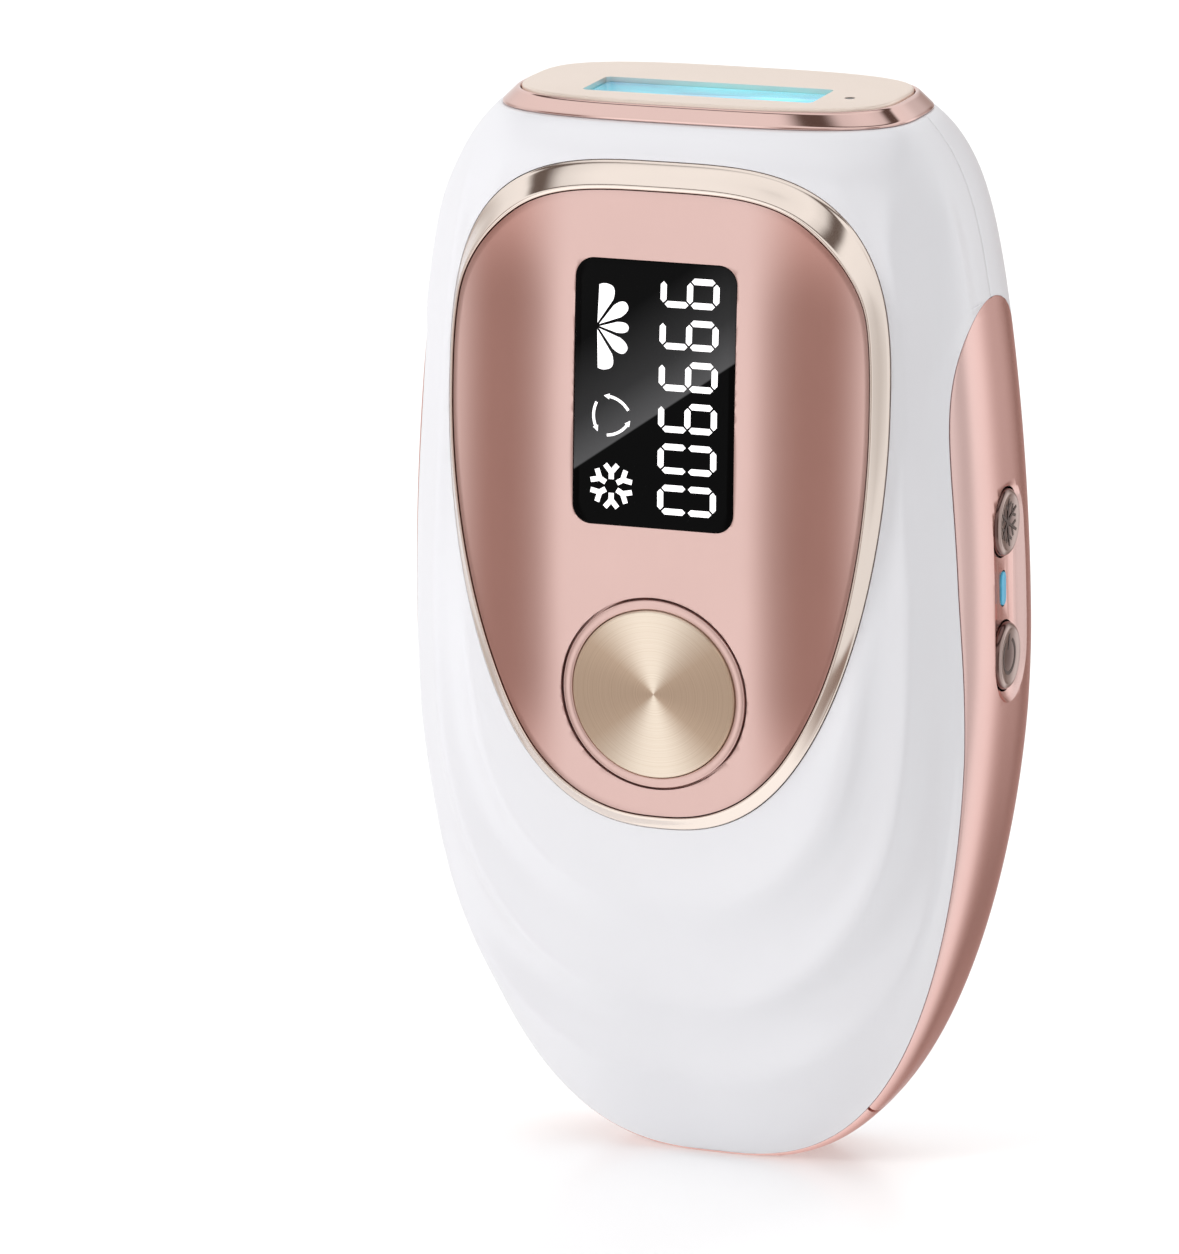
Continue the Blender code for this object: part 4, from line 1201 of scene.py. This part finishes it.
# Brightness of the studio: (azimuth, value) round the horizon, and (elevation, value) overhead.
HORIZON = (
    (-179, 0.5), (-172, 0.6), (-162, 0.9), (-132, 0.9), (-103, 0.6), (-92, 0.6), (-82, 0.9), (-62, 0.85),
    (-50, 0.32), (-36, 0.28), (-27, 1.28), (-14, 1.28), (-6, 0.28), (10, 0.32), (22, 0.85), (44, 0.85),
    (52, 0.30), (64, 0.32), (74, 0.9), (104, 0.9), (117, 0.66), (123, 0.68), (134, 1.16), (148, 1.16),
    (162, 0.52), (169, 0.28), (179, 0.5),
)
OVERHEAD = (
    (-80, 1.15), (-35, 1.1), (17, 1.0), (26, 1.0), (38, 1.05), (43, 0.13), (48, 0.13), (56, 0.9), (64, 1.05),
    (76, 1.0), (86, 0.7),
)


def tinted(value):
    """The dark gaps of the studio are brown; its light boxes are white."""
    lit_share = float(smooth((value - 0.3) / 0.45))
    return (value, value * (0.76 + 0.24 * lit_share), value * (0.66 + 0.34 * lit_share))


def mapped(tree, source, low, high, kind="LINEAR"):
    """Share of the way from low to high, from 0 to 1."""
    made = tree.nodes.new("ShaderNodeMapRange")
    made.interpolation_type = kind
    made.inputs["From Min"].default_value = low
    made.inputs["From Max"].default_value = high
    tree.links.new(source, made.inputs["Value"])
    return made.outputs["Result"]


def studio():
    """Tall soft boxes all round with darker gaps between them, which is what the polished pieces mirror."""
    world = bpy.data.worlds.new("studio")
    world.use_nodes = True
    tree = world.node_tree
    split = tree.nodes.new("ShaderNodeSeparateXYZ")
    tree.links.new(tree.nodes.new("ShaderNodeTexCoord").outputs["Generated"], split.inputs["Vector"])
    across, depth, height = split.outputs
    heading = maths(tree, "ARCTAN2", across, maths(tree, "MULTIPLY", depth, -1))
    stops = [((azimuth + 180) / 360, tinted(value)) for azimuth, value in HORIZON]
    horizon = ramp(tree, mapped(tree, heading, -math.pi, math.pi), stops)
    stops = [((math.sin(math.radians(e)) + 1) / 2, tinted(value)) for e, value in OVERHEAD]
    overhead = ramp(tree, mapped(tree, height, -1, 1), stops)
    above = mapped(tree, height, 0.14, 0.46, "SMOOTHSTEP")
    under = mapped(tree, height, -0.5, -0.78, "SMOOTHSTEP")
    mixed = tree.nodes.new("ShaderNodeMix")
    mixed.data_type = "RGBA"
    tree.links.new(maths(tree, "MAXIMUM", above, under), mixed.inputs["Factor"])
    tree.links.new(horizon, mixed.inputs["A"])
    tree.links.new(overhead, mixed.inputs["B"])
    tree.links.new(mixed.outputs["Result"], tree.nodes["Background"].inputs["Color"])
    world.cycles.sampling_method = "NONE"
    return world


bpy.context.scene.world = studio()
bpy.context.scene.view_settings.view_transform = "Standard"
bpy.context.scene.view_settings.look = "None"
